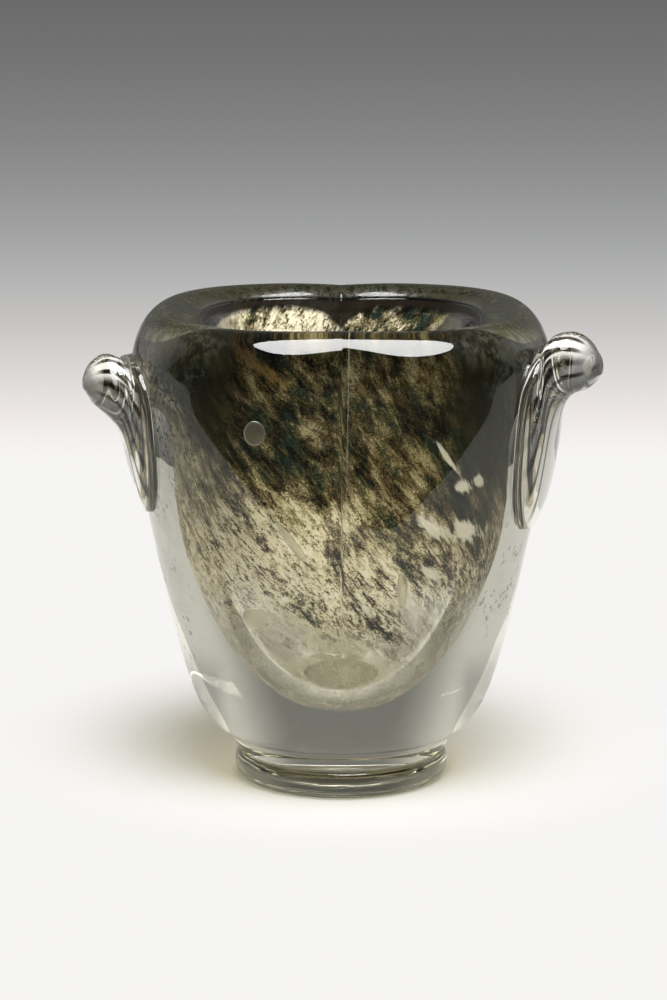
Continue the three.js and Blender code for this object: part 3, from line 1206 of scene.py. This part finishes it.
@dataclass(frozen=True)
class VaseForm:
    """The vase's outline, wall and cavity as formulas that all its glass layers share."""

    total_height: float
    body_bottom: float
    body_half_width: float
    foot_height: float
    foot_radius: float
    body_half_depth: float = 0.0604
    shoulder_height: float = 0.142
    waist_radius: float = 0.035
    lip_half_width: float = 0.056
    lip_half_depth: float = 0.0495
    mouth_half_width: float = 0.0455
    mouth_half_depth: float = 0.041
    mouth_drop: float = 0.008
    cavity_half_width: float = 0.0348
    cavity_half_depth: float = 0.0302
    cavity_floor: float = 0.035
    bowl_height: float = 0.086
    flare_depth: float = 0.050
    flare_sharpness: int = 3
    thinning_depth: float = 0.020
    gather_wall: float = 0.003
    colour_wall: float = 0.0016
    fold_depth: float = 0.0045
    fold_start: float = 0.020
    fold_full: float = 0.090
    lip_fold_fade: float = 0.14
    crease_radius: float = 0.0003
    crease_angles: tuple[float, ...] = (-0.85, -0.5, -0.22, 0.22, 0.5, 0.85)
    base_squareness: float = 2.0
    lip_squareness: float = 3.0
    bowl_roundness: float = 2.0
    fold_reach_share: float = 0.4
    lip_fold_share: float = 0.3
    mouth_layer_share: float = 0.4
    floor_layer_share: float = 1.3
    sides: int = 288
    wall_rings: int = 110
    roll_rings: int = 22
    mouth_rings: int = 10
    bowl_rings: int = 40
    upper_rings: int = 40
    wall_row_shares: tuple[tuple[float, float], ...] = (
        (0, 0), (0.026, 0.052), (0.064, 0.2), (0.109, 0.347), (0.169, 0.451), (0.26, 0.558),
        (0.381, 0.673), (0.532, 0.795), (0.683, 0.905), (0.819, 0.975), (0.924, 1), (1, 1),
    )

    @classmethod
    def from_frame(cls) -> "VaseForm":
        """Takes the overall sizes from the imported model.

        Returns:
            The form.
        """
        low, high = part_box("outer_casing")
        foot_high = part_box("foot")[1]
        return cls(
            total_height=high.z, body_bottom=low.z, body_half_width=high.x,
            foot_height=foot_high.z, foot_radius=foot_high.x,
        )

    @property
    def mouth_height(self) -> float:
        """The height of the mouth's inner edge."""
        return self.total_height - self.mouth_drop

    @property
    def casing_bed(self) -> float:
        """How far off the cavity the casing begins."""
        return self.gather_wall + self.colour_wall

    def angles(self) -> np.ndarray:
        """The angles of a ring's points, closer together at the two creases."""
        at_crease = QUARTER_TURN + np.radians(self.crease_angles)
        return np.sort(np.concatenate([turns(self.sides), at_crease, at_crease + FULL_TURN / 2]))

    def squareness(self, height: Any) -> Any:
        """How square the outline is at a height, or at each of many, 2 being round."""
        share = (height / self.total_height) ** 2
        return part_way(self.base_squareness, self.lip_squareness, share)

    def fold(self, height: float, in_front: np.ndarray) -> np.ndarray:
        """How deep the upright fold is.

        Args:
            height: The height.
            in_front: Whether each point is on the front.

        Returns:
            The depth at each point.
        """
        full = self.fold_depth * smooth_step(height, self.fold_start, self.fold_full)
        fade = smooth_step(height, self.lip_fold_fade, self.total_height)
        return np.where(in_front, full * part_way(1, self.lip_fold_share, fade), full)

    def ring(self, half_width: float, half_depth: float, height: float) -> np.ndarray:
        """The rounded, folded outline at one height.

        Args:
            half_width: Its half-width.
            half_depth: Its half-depth.
            height: Its height.

        Returns:
            Its points, anticlockwise from +X.
        """
        angles = self.angles()
        reach = squared_reach(angles, half_width, half_depth, self.squareness(height))
        x, y = reach * np.cos(angles), reach * np.sin(angles)
        off_crease = np.hypot(x, self.crease_radius)
        nearness = np.maximum(0, 1 - off_crease / (self.fold_reach_share * half_width))
        y = y - np.sign(y) * self.fold(height, y < 0) * nearness ** 2
        return np.stack([x, y, np.full_like(x, height)], axis=1)

    def wall_rows(self) -> np.ndarray:
        """The outside, from the waist to the lip's crest.

        Returns:
            Rows of half-width, half-depth and height.
        """
        waist = np.array([self.waist_radius, self.waist_radius, self.body_bottom])
        widest = np.array([self.body_half_width, self.body_half_depth, self.shoulder_height])
        crest = np.array([self.lip_half_width, self.lip_half_depth, self.total_height])
        shares = np.array(self.wall_row_shares, float)[:, ::-1]
        curve = spline(shares, self.wall_rings, np.array([0.0, 1.0]))
        wall = part_way(waist, widest, curve[:, [0, 0, 1]])
        return np.concatenate([wall, quarter_roll(widest, crest, self.roll_rings + 1)[1:]])

    def cavity_rows(self) -> np.ndarray:
        """The cavity, from its floor to the mouth's edge.

        Returns:
            Rows of half-width, half-depth and height.
        """
        turn = np.linspace(0, QUARTER_TURN, self.bowl_rings + 1)
        bowl_top = self.cavity_floor + self.bowl_height
        bowl = self.cavity_floor + self.bowl_height * (1 - np.cos(turn))
        share = np.sin(np.linspace(0, QUARTER_TURN, self.upper_rings + 1)[1:])
        height = np.concatenate([bowl, part_way(bowl_top, self.mouth_height, share)])
        bowl_share = np.minimum(1, (height - self.cavity_floor) / self.bowl_height)
        spread = (1 - (1 - bowl_share) ** self.bowl_roundness) ** (1 / self.bowl_roundness)
        flare = np.maximum(0, 1 - (self.mouth_height - height) / self.flare_depth)
        inner = np.array([self.cavity_half_width, self.cavity_half_depth])
        mouth = np.array([self.mouth_half_width, self.mouth_half_depth])
        level = inner * spread[:, None] + (mouth - inner) * flare[:, None] ** self.flare_sharpness
        return np.column_stack([level, height])

    def layer_share(self, height: np.ndarray) -> np.ndarray:
        """How thick the layers are.

        Args:
            height: The heights at which that is wanted.

        Returns:
            The thickness at each, as a share of the layers' named walls.
        """
        near_mouth = smooth_step(height, self.mouth_height - self.thinning_depth, self.mouth_height)
        over_floor = smooth_step(height, self.cavity_floor, self.cavity_floor + self.bowl_height)
        thinning = (1 - self.mouth_layer_share) * near_mouth
        return part_way(self.floor_layer_share, 1, over_floor) - thinning

    def mouth_roll(self, share: float) -> np.ndarray:
        """A ring on the lip's inward roll.

        Args:
            share: Where it lies, from 0 at the crest to 1 at the mouth's edge.

        Returns:
            Its points.
        """
        crest = self.ring(self.lip_half_width, self.lip_half_depth, self.total_height)
        edge = self.ring(self.mouth_half_width, self.mouth_half_depth, self.mouth_height)
        return part_way(crest, edge, np.array([share, share, 1 - math.sqrt(1 - share * share)]))

    def mouth_share(self, wall: float) -> float:
        """The share of the lip's inward roll where a layer ends that lies so far off the cavity."""
        reach = self.lip_half_width - self.mouth_half_width
        return 1 - wall * self.mouth_layer_share / reach

    def layer(self, wall: float) -> list[np.ndarray]:
        """The cavity's surface moved into the glass.

        Args:
            wall: The named thickness of the glass between the two.

        Returns:
            Rings from the floor to the mouth, the first a single point.
        """
        rows = self.cavity_rows()
        slope = np.gradient(np.column_stack([rows[:, :2].mean(axis=1), rows[:, 2]]), axis=0)
        slope /= np.linalg.norm(slope, axis=1)[:, None]
        move = wall * self.layer_share(rows[:, 2])
        floor = centre_point(rows[0, 2] - move[0])
        sideways = move * slope[:, 1]
        rows = rows + np.stack([sideways, sideways, -move * slope[:, 0]], axis=1)
        walls = [self.ring(*row) for row in rows[1:-1]]
        return [floor, *walls, self.mouth_roll(self.mouth_share(wall))]


@dataclass
class Piece:
    """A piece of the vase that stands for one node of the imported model."""

    node: str
    slot: Slot
    form: VaseForm

    def skin(self) -> RingMesh:
        """The skin, which each kind of piece shapes in its own way."""
        raise NotImplementedError

    def build(self, *materials: bpy.types.Material) -> bpy.types.Object:
        """Makes the piece, which rides on the vase and stands for its node.

        Args:
            materials: The material of each slot of its skin.

        Returns:
            The object.
        """
        piece = self.skin().build(materials)
        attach(piece, Body.ROOT.value)
        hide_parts(self.node)
        LOG.info("%s: %d faces", piece.name, len(piece.data.polygons))
        return piece


@dataclass
class OuterCasing(Piece):
    """The thick clear casing: the solid base, the outside wall, the rolled lip and the bed."""

    foot_top_radius: float
    handles: Sequence["Handle"]
    bubble_depth: float = 0.35
    bubble_half_depth: float = 0.0006
    bubble_rings: int = 25
    bubble_sides: int = 48

    def skin(self) -> RingMesh:
        """Builds the rings.

        Returns:
            The skin, with glass as slot 0, the fused faces as slot 1 and the bubbles as slot 2.
        """
        form = self.form
        mesh = RingMesh("outer_casing_glass")
        mesh.add([centre_point(form.body_bottom)], 1)
        mesh.add([form.ring(self.foot_top_radius, self.foot_top_radius, form.body_bottom)], 1)
        mesh.add([form.ring(*row) for row in form.wall_rows()], 0)
        shares = np.linspace(0, form.mouth_share(form.casing_bed), form.mouth_rings)[1:-1]
        mesh.add([form.mouth_roll(share) for share in shares], 0)
        bed = form.layer(form.casing_bed)[::-1]
        mesh.add(bed[:1], 0).add(bed[1:], 1)
        for spot in AIR_BUBBLES:
            mesh.add(self.bubble(spot), 2)
        return mesh

    def front(self, rows: np.ndarray, spot: Spot) -> float:
        """Where the front of a surface lies at a spot.

        Args:
            rows: The surface, as rows of half-width, half-depth and height.
            spot: The spot.

        Returns:
            The surface's Y there.
        """
        ring = self.form.ring(*[np.interp(spot.z, rows[:, 2], sizes) for sizes in rows.T])
        near = ring[(ring[:, 1] < 0) & (np.abs(ring[:, 0]) < ring[:, 0].max() / 2)]
        near = near[np.argsort(near[:, 0])]
        return float(np.interp(spot.x, near[:, 0], near[:, 1]))

    def bubble(self, spot: Spot) -> list[np.ndarray]:
        """A flat air bubble in the front wall.

        Args:
            spot: Its place and size as seen from the front.

        Returns:
            Its rings from the top down, so that the skin faces into the bubble.
        """
        bed = self.front(self.form.cavity_rows(), spot) - self.form.casing_bed
        middle = part_way(bed, self.front(self.form.wall_rows(), spot), self.bubble_depth)
        around = turns(self.bubble_sides)
        rings = []
        for turn in np.linspace(QUARTER_TURN, -QUARTER_TURN, self.bubble_rings):
            up, size = spot.half_height * math.sin(turn), math.cos(turn)
            x = spot.x - up * spot.lean + spot.half_width * size * np.cos(around)
            y = middle + self.bubble_half_depth * size * np.sin(around)
            rings.append(np.stack([x, y, np.full_like(x, spot.z + up)], axis=1))
        top, bottom = [ring.mean(axis=0)[None] for ring in (rings[0], rings[-1])]
        return [top, *rings[1:-1], bottom]

    def fused_handles(self, place: Track) -> Signal:
        """A mask of the two places where a handle's leaf is fused to the wall."""
        masks = [handle.seat_mask(place) for handle in self.handles]
        return masks[0].at_least(masks[1])


@dataclass
class ColourLayer(Piece):
    """The coloured layer between the first bubble and the casing."""

    def skin(self) -> RingMesh:
        """Builds the rings.

        Returns:
            The skin, with the outer face as slot 0, the inner face as slot 1 and the rim as slot 2.
        """
        mesh = RingMesh("mottled_colour_layer").add(self.form.layer(self.form.casing_bed), 0)
        inside_rings = self.form.layer(self.form.gather_wall)[::-1]
        return mesh.add(inside_rings[:1], 2).add(inside_rings[1:], 1)


@dataclass
class InnerGather(Piece):
    """The first clear bubble, whose inside is the cavity."""

    def skin(self) -> RingMesh:
        """Builds the rings, with the cavity's side as slot 0 and the fused face as slot 1."""
        mesh = RingMesh("inner_gather_glass").add(self.form.layer(self.form.gather_wall), 1)
        return mesh.add(self.form.layer(0)[::-1], 0)


@dataclass
class Foot(Piece):
    """The clear disc that the body stands on."""

    rest_radius: float = 0.0325
    top_radius: float = 0.0342
    belly_height: float = 0.0044
    arc_rings: int = 18

    def profile(self) -> np.ndarray:
        """Its rounded edge, from the underside to the top.

        Returns:
            Rows of radius and height.
        """
        belly = (self.form.foot_radius, self.belly_height)
        lower = quarter_roll(belly, (self.rest_radius, 0.0), self.arc_rings)
        upper = quarter_roll(belly, (self.top_radius, self.form.foot_height), self.arc_rings)
        return np.concatenate([lower[::-1], upper[1:]])

    def skin(self) -> RingMesh:
        """Builds the rings.

        Returns:
            The skin, with glass as slot 0 and the fused top as slot 1.
        """
        angles = self.form.angles()
        mesh = RingMesh("foot_glass").add([centre_point(0.0)], 0)
        mesh.add([circle(angles, radius, height) for radius, height in self.profile()], 0)
        return mesh.add([centre_point(self.form.foot_height)], 1)


@dataclass(frozen=True)
class RidgesAndPaintedReflections:
    """The ridges that pulling left along a handle, with painted dark reflections and highlights in
    lines.

    A row of the handle has a reach, as a share of the knob's. The windows and the twists go by that
    reach, and the turns are angles round the row, from its front upwards.
    """

    count: int = 16
    twist: float = 1.2
    ridge_share: float = 0.003
    ridge_window: Window = (0.1, 0.25, 0.3, 0.55)
    dark_window: Window = (0.09, 0.2, 0.3, 0.6)
    dark_cosines: Span = (0.15, 0.8)
    front_cosines: Span = (0.0, 0.4)
    streak_count: int = 13
    streak_start: float = 0.9
    streak_window: Window = (0.2, 0.35, 0.7, 0.9)
    streak_cosines: Span = (0.3, 0.8)
    streak_turns: Span = (1.5, 1.2)
    streak_share: float = 0.95
    pale_turn: float = 0.62
    pale_twist: float = 0.3
    pale_window: Window = (0.12, 0.3, 0.8, 0.98)
    upper_turns: Span = (0.62, 0.31)
    lower_turns: Span = (0.62, 0.186)
    lower_share: float = 0.35

    def ridges(self, angles: np.ndarray, out: float) -> np.ndarray:
        """How far the ridges stand out at the angles of a row, as a share of its size."""
        return self.ridge_share * inside(out, self.ridge_window) * np.cos(self.count * angles)

    def values(self, angles: np.ndarray, out: float) -> np.ndarray:
        """Where the painted dark reflections and painted highlights run on a row.

        Args:
            angles: The angles of its points.
            out: Its reach, as a share of the knob's.

        Returns:
            1 in a line of painted dark reflection, -1 in a painted highlight and 0 beside them, at
            each point.
        """
        # The dark lines are painted dark reflections; the pale bands on the upper and lower front
        # are painted highlights.
        fine = np.cos(self.count * angles + np.sin(2 * angles) + out * self.twist)
        dark = smooth_step(fine, *self.dark_cosines) * inside(out, self.dark_window)
        dark = dark * smooth_step(np.cos(angles), *self.front_cosines)
        turn = np.arctan2(np.sin(angles), np.cos(angles)) - out * self.pale_twist
        off_pale = np.abs(turn - self.pale_turn)
        streak = np.cos(self.streak_count * turn + self.streak_start)
        streak = smooth_step(streak, *self.streak_cosines) * inside(out, self.streak_window)
        streak = streak * smooth_step(off_pale, *self.streak_turns) * self.streak_share
        dark = np.maximum(dark, streak)
        lower = smooth_step(np.abs(turn + self.pale_turn), *self.lower_turns) * self.lower_share
        pale = smooth_step(off_pale, *self.upper_turns) + lower
        return dark - pale * inside(out, self.pale_window) * (1 - dark)



@dataclass
class Handle(Piece):
    """A bit of clear glass pressed on the shoulder as a leaf and pulled out into a knob."""

    side: Side
    leaf_azimuth: float
    leaf_bottom: float
    leaf_top: float
    knob_reach: float
    row_shares: tuple[tuple[float, ...], ...]
    tip_shares: tuple[float, float, float]
    lines: RidgesAndPaintedReflections = RidgesAndPaintedReflections()
    leaf_half_width: float = 0.022
    leaf_squareness: float = 2.6
    knob_squareness: float = 2.0
    knob_free_share: float = 0.5
    seat_narrowing: float = 0.25
    seat_centre_shares: Point = (0, 0, 0.5)
    tip_slope: tuple[float, ...] = (0, 0, -0.8, 0.8, -0.8, 0)
    fused_share: float = 0.97
    sides: int = 160
    rows: int = 110
    seat_rings: int = 24

    @property
    def around(self) -> np.ndarray:
        """The angles of a row's points, from its front side and with the skin facing out."""
        return -self.side.value * turns(self.sides)

    @property
    def seat_shares(self) -> tuple[float, ...]:
        """The row that lies on the wall."""
        return (0, 0, 1, 0, 1, self.seat_narrowing)

    def on_wall(self, azimuth: np.ndarray, height: np.ndarray) -> tuple[np.ndarray, np.ndarray]:
        """Places on the right side wall, and the level directions out of it.

        Args:
            azimuth: The angles from +X towards the front.
            height: The heights.

        Returns:
            The X and Y of the places, and the X and Y of the directions.
        """
        rows = self.form.wall_rows()
        width, depth = [np.interp(height, rows[:, 2], rows[:, axis]) for axis in (0, 1)]
        power = self.form.squareness(height)
        reach = squared_reach(azimuth, width, depth, power)
        place = np.stack([reach * np.cos(azimuth), -reach * np.sin(azimuth)], axis=-1)
        outward = np.stack([
            (np.abs(place[..., 0]) / width) ** (power - 1) / width,
            -np.sign(azimuth) * (np.abs(place[..., 1]) / depth) ** (power - 1) / depth,
        ], axis=-1)
        return place, outward / np.linalg.norm(outward, axis=-1)[..., None]

    def off_wall(self, across: np.ndarray, height: np.ndarray, out: np.ndarray) -> np.ndarray:
        """Points that stand out from the wall.

        Args:
            across: How far from the leaf's middle towards the front.
            height: The heights.
            out: How far out from the wall.

        Returns:
            The points.
        """
        seat_height = np.minimum(height, self.leaf_top)
        azimuth = self.leaf_azimuth + across / self.form.body_half_width
        place, outward = self.on_wall(azimuth, seat_height)
        middle = self.on_wall(np.full_like(azimuth, self.leaf_azimuth), seat_height)[1]
        freedom = smooth_step(out, 0, self.knob_reach * self.knob_free_share)[..., None]
        outward = part_way(outward, middle, freedom)
        outward /= np.linalg.norm(outward, axis=-1)[..., None]
        place = place + outward * out[..., None]
        return np.stack([place[..., 0] * self.side.value, place[..., 1], height], axis=-1)

    def point(self, out: float, centre: float, height: float) -> np.ndarray:
        """A single point of the handle.

        Args:
            out: How far out it is, as a share of the knob's reach.
            centre: How far towards the front, as a share of the leaf's half-width.
            height: How far up, as a share of the leaf's height.

        Returns:
            The point.
        """
        across = np.array([self.leaf_half_width * centre])
        level = np.array([part_way(self.leaf_bottom, self.leaf_top, height)])
        return self.off_wall(across, level, np.array([self.knob_reach * out]))

    def row(self, shares: Sequence[float], size_share: float = 1.0) -> np.ndarray:
        """One closed row of the handle.

        Args:
            shares: Its reach, middle, spread, lowest and highest place, and narrowing.
            size_share: How large it is, for the rings of the seat.

        Returns:
            Its points.
        """
        out, centre, spread, low, high, narrowing = shares
        middle = part_way(self.leaf_bottom, self.leaf_top, (low + high) / 2)
        half_height = (self.leaf_top - self.leaf_bottom) * (high - low) / 2
        rounding = smooth_step(out, 0, self.knob_free_share)
        power = part_way(self.leaf_squareness, self.knob_squareness, rounding)
        angles = self.around
        reach = squared_reach(angles, 1, 1, power) * size_share
        reach = reach * (1 + self.lines.ridges(angles, out))
        taper = 1 - narrowing * (1 - reach * np.sin(angles)) / 2
        across = self.leaf_half_width * (centre + spread * taper * reach * np.cos(angles))
        height = middle + half_height * reach * np.sin(angles)
        return self.off_wall(across, height, np.full_like(height, self.knob_reach * out))

    def drawn_rows(self) -> np.ndarray:
        """The rows between the seat and the knob's end, finely spaced along an even curve.

        Returns:
            The shares of each row.
        """
        tip_out, tip_centre, tip_height = self.tip_shares
        tip = (tip_out, tip_centre, 0, tip_height, tip_height, 0)
        rows = np.array([self.seat_shares, *self.row_shares, tip], float)
        return spline(rows, self.rows, np.array(self.tip_slope))[1:-1]

    def seat_mask(self, place: Track) -> Signal:
        """A mask on the wall of the area that the leaf is fused to.

        Args:
            place: The place on the wall.

        Returns:
            1 under the leaf and 0 elsewhere.
        """
        x, y, z = place.parts()
        front = -1 * y
        azimuth = front.maths("ARCTAN2", front, self.side.value * x)
        across = (azimuth - self.leaf_azimuth) * self.form.body_half_width
        middle = (self.leaf_bottom + self.leaf_top) / 2
        upward = (z - middle) / (self.leaf_top - middle)
        taper = 1 - self.seat_narrowing * (1 - upward) / 2
        sideways = abs(across / (taper * self.leaf_half_width))
        size = sideways ** self.leaf_squareness + abs(upward) ** self.leaf_squareness
        return size.maths("LESS_THAN", size, self.fused_share)

    def skin(self) -> RingMesh:
        """Builds the rings.

        Returns:
            The skin, with glass as slot 0 and the fused seat as slot 1.
        """
        sizes = np.linspace(0, 1, self.seat_rings + 1)[1:]
        mesh = RingMesh(f"{self.node}_glass").add([self.point(*self.seat_centre_shares)], 1)
        mesh.add([self.row(self.seat_shares, size) for size in sizes], 1)
        mesh.add([self.row(shares) for shares in self.drawn_rows()], 0)
        return mesh.add([self.point(*self.tip_shares)], 0)

    def build(self, *materials: bpy.types.Material) -> bpy.types.Object:
        """Makes the piece, whose points carry the painted dark reflections and highlights.

        Args:
            materials: The material of each slot of its skin.

        Returns:
            The object.
        """
        piece = super().build(*materials)
        reaches = self.drawn_rows()[:, 0]
        lined = np.concatenate([self.lines.values(self.around, out) for out in reaches])
        values = np.zeros(len(piece.data.vertices))
        values[-1 - len(lined):-1] = lined
        piece.data.attributes.new(LINES, "FLOAT", "POINT").data.foreach_set("value", values)
        return piece



RIGHT_ROWS = (
    (0.087, 0, 0.985, 0.008, 1.015, 0.25), (0.146, 0.02, 0.9, 0.05, 1.03, 0.3),
    (0.19, 0.08, 0.8, 0.12, 1.045, 0.35), (0.228, 0.2, 0.68, 0.23, 1.066, 0.45),
    (0.267, 0.32, 0.57, 0.41, 1.079, 0.5), (0.325, 0.4, 0.49, 0.59, 1.092, 0.4),
    (0.4, 0.41, 0.45, 0.702, 1.104, 0.25), (0.51, 0.4, 0.42, 0.766, 1.112, 0.1),
    (0.631, 0.38, 0.41, 0.793, 1.11, 0), (0.752, 0.36, 0.38, 0.808, 1.09, 0),
    (0.864, 0.35, 0.31, 0.84, 1.056, 0), (0.951, 0.35, 0.19, 0.88, 1.014, 0),
)
LEFT_ROWS = (
    (0.09, 0, 0.985, 0.01, 0.995, 0.25), (0.15, 0.02, 0.9, 0.05, 0.995, 0.3),
    (0.197, 0.08, 0.8, 0.12, 0.998, 0.35), (0.238, 0.18, 0.68, 0.24, 1, 0.45),
    (0.284, 0.28, 0.58, 0.37, 1.005, 0.5), (0.345, 0.35, 0.5, 0.49, 1.015, 0.4),
    (0.435, 0.37, 0.45, 0.58, 1.03, 0.25), (0.545, 0.37, 0.43, 0.638, 1.04, 0.1),
    (0.675, 0.36, 0.41, 0.68, 1.032, 0), (0.795, 0.35, 0.36, 0.72, 1.002, 0),
    (0.895, 0.35, 0.27, 0.765, 0.96, 0), (0.966, 0.35, 0.15, 0.813, 0.905, 0),
)


@dataclass(frozen=True)
class SoftBox:
    """An oval studio lamp with a soft cover, aimed at the vase."""

    name: str
    place: Point
    width: float
    depth: float
    power: float
    aim: Point = (0.0, 0.0, 0.1)
    colour: Colour = WHITE

    def build(self) -> bpy.types.Object:
        """Hangs the lamp and points it at its aim.

        Returns:
            The lamp.
        """
        data = bpy.data.lights.new(self.name, "AREA")
        data.shape = "ELLIPSE"
        data.size = self.width
        data.size_y = self.depth
        data.energy = self.power
        data.color = self.colour[:3]
        lamp = bpy.data.objects.new(self.name, data)
        bpy.context.scene.collection.objects.link(lamp)
        lamp.location = self.place
        direction = Vector(self.aim) - Vector(self.place)
        lamp.rotation_euler = direction.to_track_quat("-Z", "Y").to_euler()
        return lamp


@dataclass(frozen=True)
class Room:
    """The studio's walls: dark in front, grey far behind and bright at both sides of the back."""

    name: str = "room"
    dark: float = 0.045
    behind: float = 0.12
    beside: float = 0.54
    overhead: float = 0.06
    back_span: Span = (-0.15, 0.35)
    side_span: Span = (0.24, 0.62)
    ceiling_span: Span = (0.5, 0.9)

    def build(self) -> bpy.types.World:
        """Makes the world.

        Returns:
            The world.
        """
        tree = RoomTree(self.name)
        x, y, z = tree.direction().parts()
        walls = abs(x).rise(*self.side_span).part_way(self.behind, self.beside)
        ceiling = z.rise(*self.ceiling_span)
        level = y.rise(*self.back_span) * walls * (1.0 - ceiling)
        level = level + ceiling * self.overhead + self.dark
        light = tree.node("ShaderNodeBackground", {}, {"Color": WHITE, "Strength": level})
        return tree.finish(Signal(tree, light.outputs[0]))


@dataclass
class Studio:
    """The pale floor, the lamps and the camera."""

    floor_radius: float = 8.0
    floor_rings: int = 60
    floor_sides: int = 96
    floor_gap: float = 0.0001
    camera_place: Point = (-0.0026, -1.230, 0.3643)
    camera_pitch: float = math.radians(12.38)
    lens: float = 135.1
    sensor: float = 36.0
    bounces: int = 24
    lamps: tuple[SoftBox, ...] = (
        SoftBox("key_box", (0.12, -0.53, 1.29), width=0.98, depth=1.2, power=48.0),
        SoftBox("left_card", (-1.1, 0.35, 0.55), width=1.2, depth=1.1, power=1.4),
        SoftBox("right_card", (1.1, 0.35, 0.55), width=1.2, depth=1.1, power=1.7),
    )

    def floor(self) -> None:
        """Lays the floor just under the foot, with finer rings near the vase."""
        around = turns(self.floor_sides)
        shares = np.linspace(0, 1, self.floor_rings + 1)[1:] ** 2
        mesh = RingMesh("studio_floor")
        mesh.add([centre_point(0.0)], 0)
        mesh.add([circle(around, self.floor_radius * share, 0.0) for share in shares], 0)
        piece = mesh.build([PaperSweep().build()])
        piece.data.flip_normals()
        piece.location.z = -self.floor_gap
        LOG.info("%s: %d faces", piece.name, len(piece.data.polygons))

    def camera(self) -> None:
        """Sets the camera where the photograph was taken from."""
        data = bpy.data.cameras.new("camera")
        data.lens = self.lens
        data.sensor_width = self.sensor
        camera = bpy.data.objects.new("camera", data)
        camera.location = self.camera_place
        camera.rotation_euler = (QUARTER_TURN - self.camera_pitch, 0, 0)
        bpy.context.scene.collection.objects.link(camera)
        bpy.context.scene.camera = camera

    def build(self) -> list[bpy.types.Object]:
        """Sets up the whole studio.

        Returns:
            Its lamps, the main one first.
        """
        self.camera()
        self.floor()
        bpy.context.scene.world = Room().build()
        bpy.context.scene.view_settings.view_transform = "Standard"
        cycles = bpy.context.scene.cycles
        for kind in ("max_bounces", "transmission_bounces", "glossy_bounces"):
            setattr(cycles, kind, self.bounces)
        cycles.transparent_max_bounces = 2 * self.bounces
        return [lamp.build() for lamp in self.lamps]


def build_vase() -> bpy.types.Object:
    """Builds every piece of the vase.

    Returns:
        The first bubble.
    """
    form = VaseForm.from_frame()
    seam = FusedSeam().build()
    casing_glass = CasingGlass("casing_glass", tint=paint("efeddb"), shade=paint("d0cbba"))
    gather_glass = ClearGlass("gather_glass", paint("f8f8f4"), paint("f0f0ea"), ripple=Cloud(0.02))
    # The foot's dark olive tint is painted shade.
    foot_glass = ClearGlass("foot_glass", paint("8a8872"), paint("c4c6b4"), ripple=Cloud(0.008))
    rim_glass = ClearGlass("rim_glass", paint("4a4432"), paint("4a4432"))
    bubble_glass = ClearGlass("bubble_glass", paint("f4f2e8"), paint("f0f0ea"), roughness=0.45)
    handle_glass = HandleGlassWithPaintedReflections(
        "handle_glass", paint("fafaf8"), paint("e4e4dc"), ripple=Cloud(0.009), ripple_depth=0.00002,
    ).build()
    right = Handle(
        "right_handle", Slot.HANDLE, form, Side.RIGHT, leaf_azimuth=math.radians(21.5),
        leaf_bottom=0.090, leaf_top=0.151, knob_reach=0.0208,
        row_shares=RIGHT_ROWS, tip_shares=(1, 0.35, 0.953),
    )
    left = Handle(
        "left_handle", Slot.HANDLE, form, Side.LEFT, leaf_azimuth=math.radians(15.5),
        leaf_bottom=0.0945, leaf_top=0.147, knob_reach=0.0176,
        row_shares=LEFT_ROWS, tip_shares=(1, 0.35, 0.86),
    )
    foot = Foot("foot", Slot.CLEAR, form)
    casing = OuterCasing("outer_casing", Slot.CLEAR, form, foot.top_radius, [right, left])
    casing.build(casing_glass.build(casing.fused_handles), seam, bubble_glass.build())
    layer = ColourLayer("colour_layer", Slot.MOTTLED, form)
    layer.build(MottledGrains().build(), SmokyOverlay().build(), rim_glass.build())
    gather = InnerGather("inner_gather", Slot.CLEAR, form).build(gather_glass.build(), seam)
    foot.build(foot_glass.build(), seam)
    right.build(handle_glass, seam)
    left.build(handle_glass, seam)
    return gather


def keep_off(lamp: bpy.types.Object, unlit: bpy.types.Object) -> None:
    """Keeps a lamp's mirror image off one object.

    Args:
        lamp: The lamp.
        unlit: The only object that the lamp leaves out.
    """
    lit = bpy.data.collections.new(f"{lamp.name}_lit")
    for piece in bpy.context.scene.objects:
        if piece.type == "MESH" and piece != unlit:
            lit.objects.link(piece)
    lamp.light_linking.receiver_collection = lit


def main() -> None:
    """Builds the studio and the vase."""
    logging.basicConfig(level=logging.INFO, format="%(message)s")
    lamps = Studio().build()
    keep_off(lamps[0], build_vase())


if __name__ == "__main__":
    main()
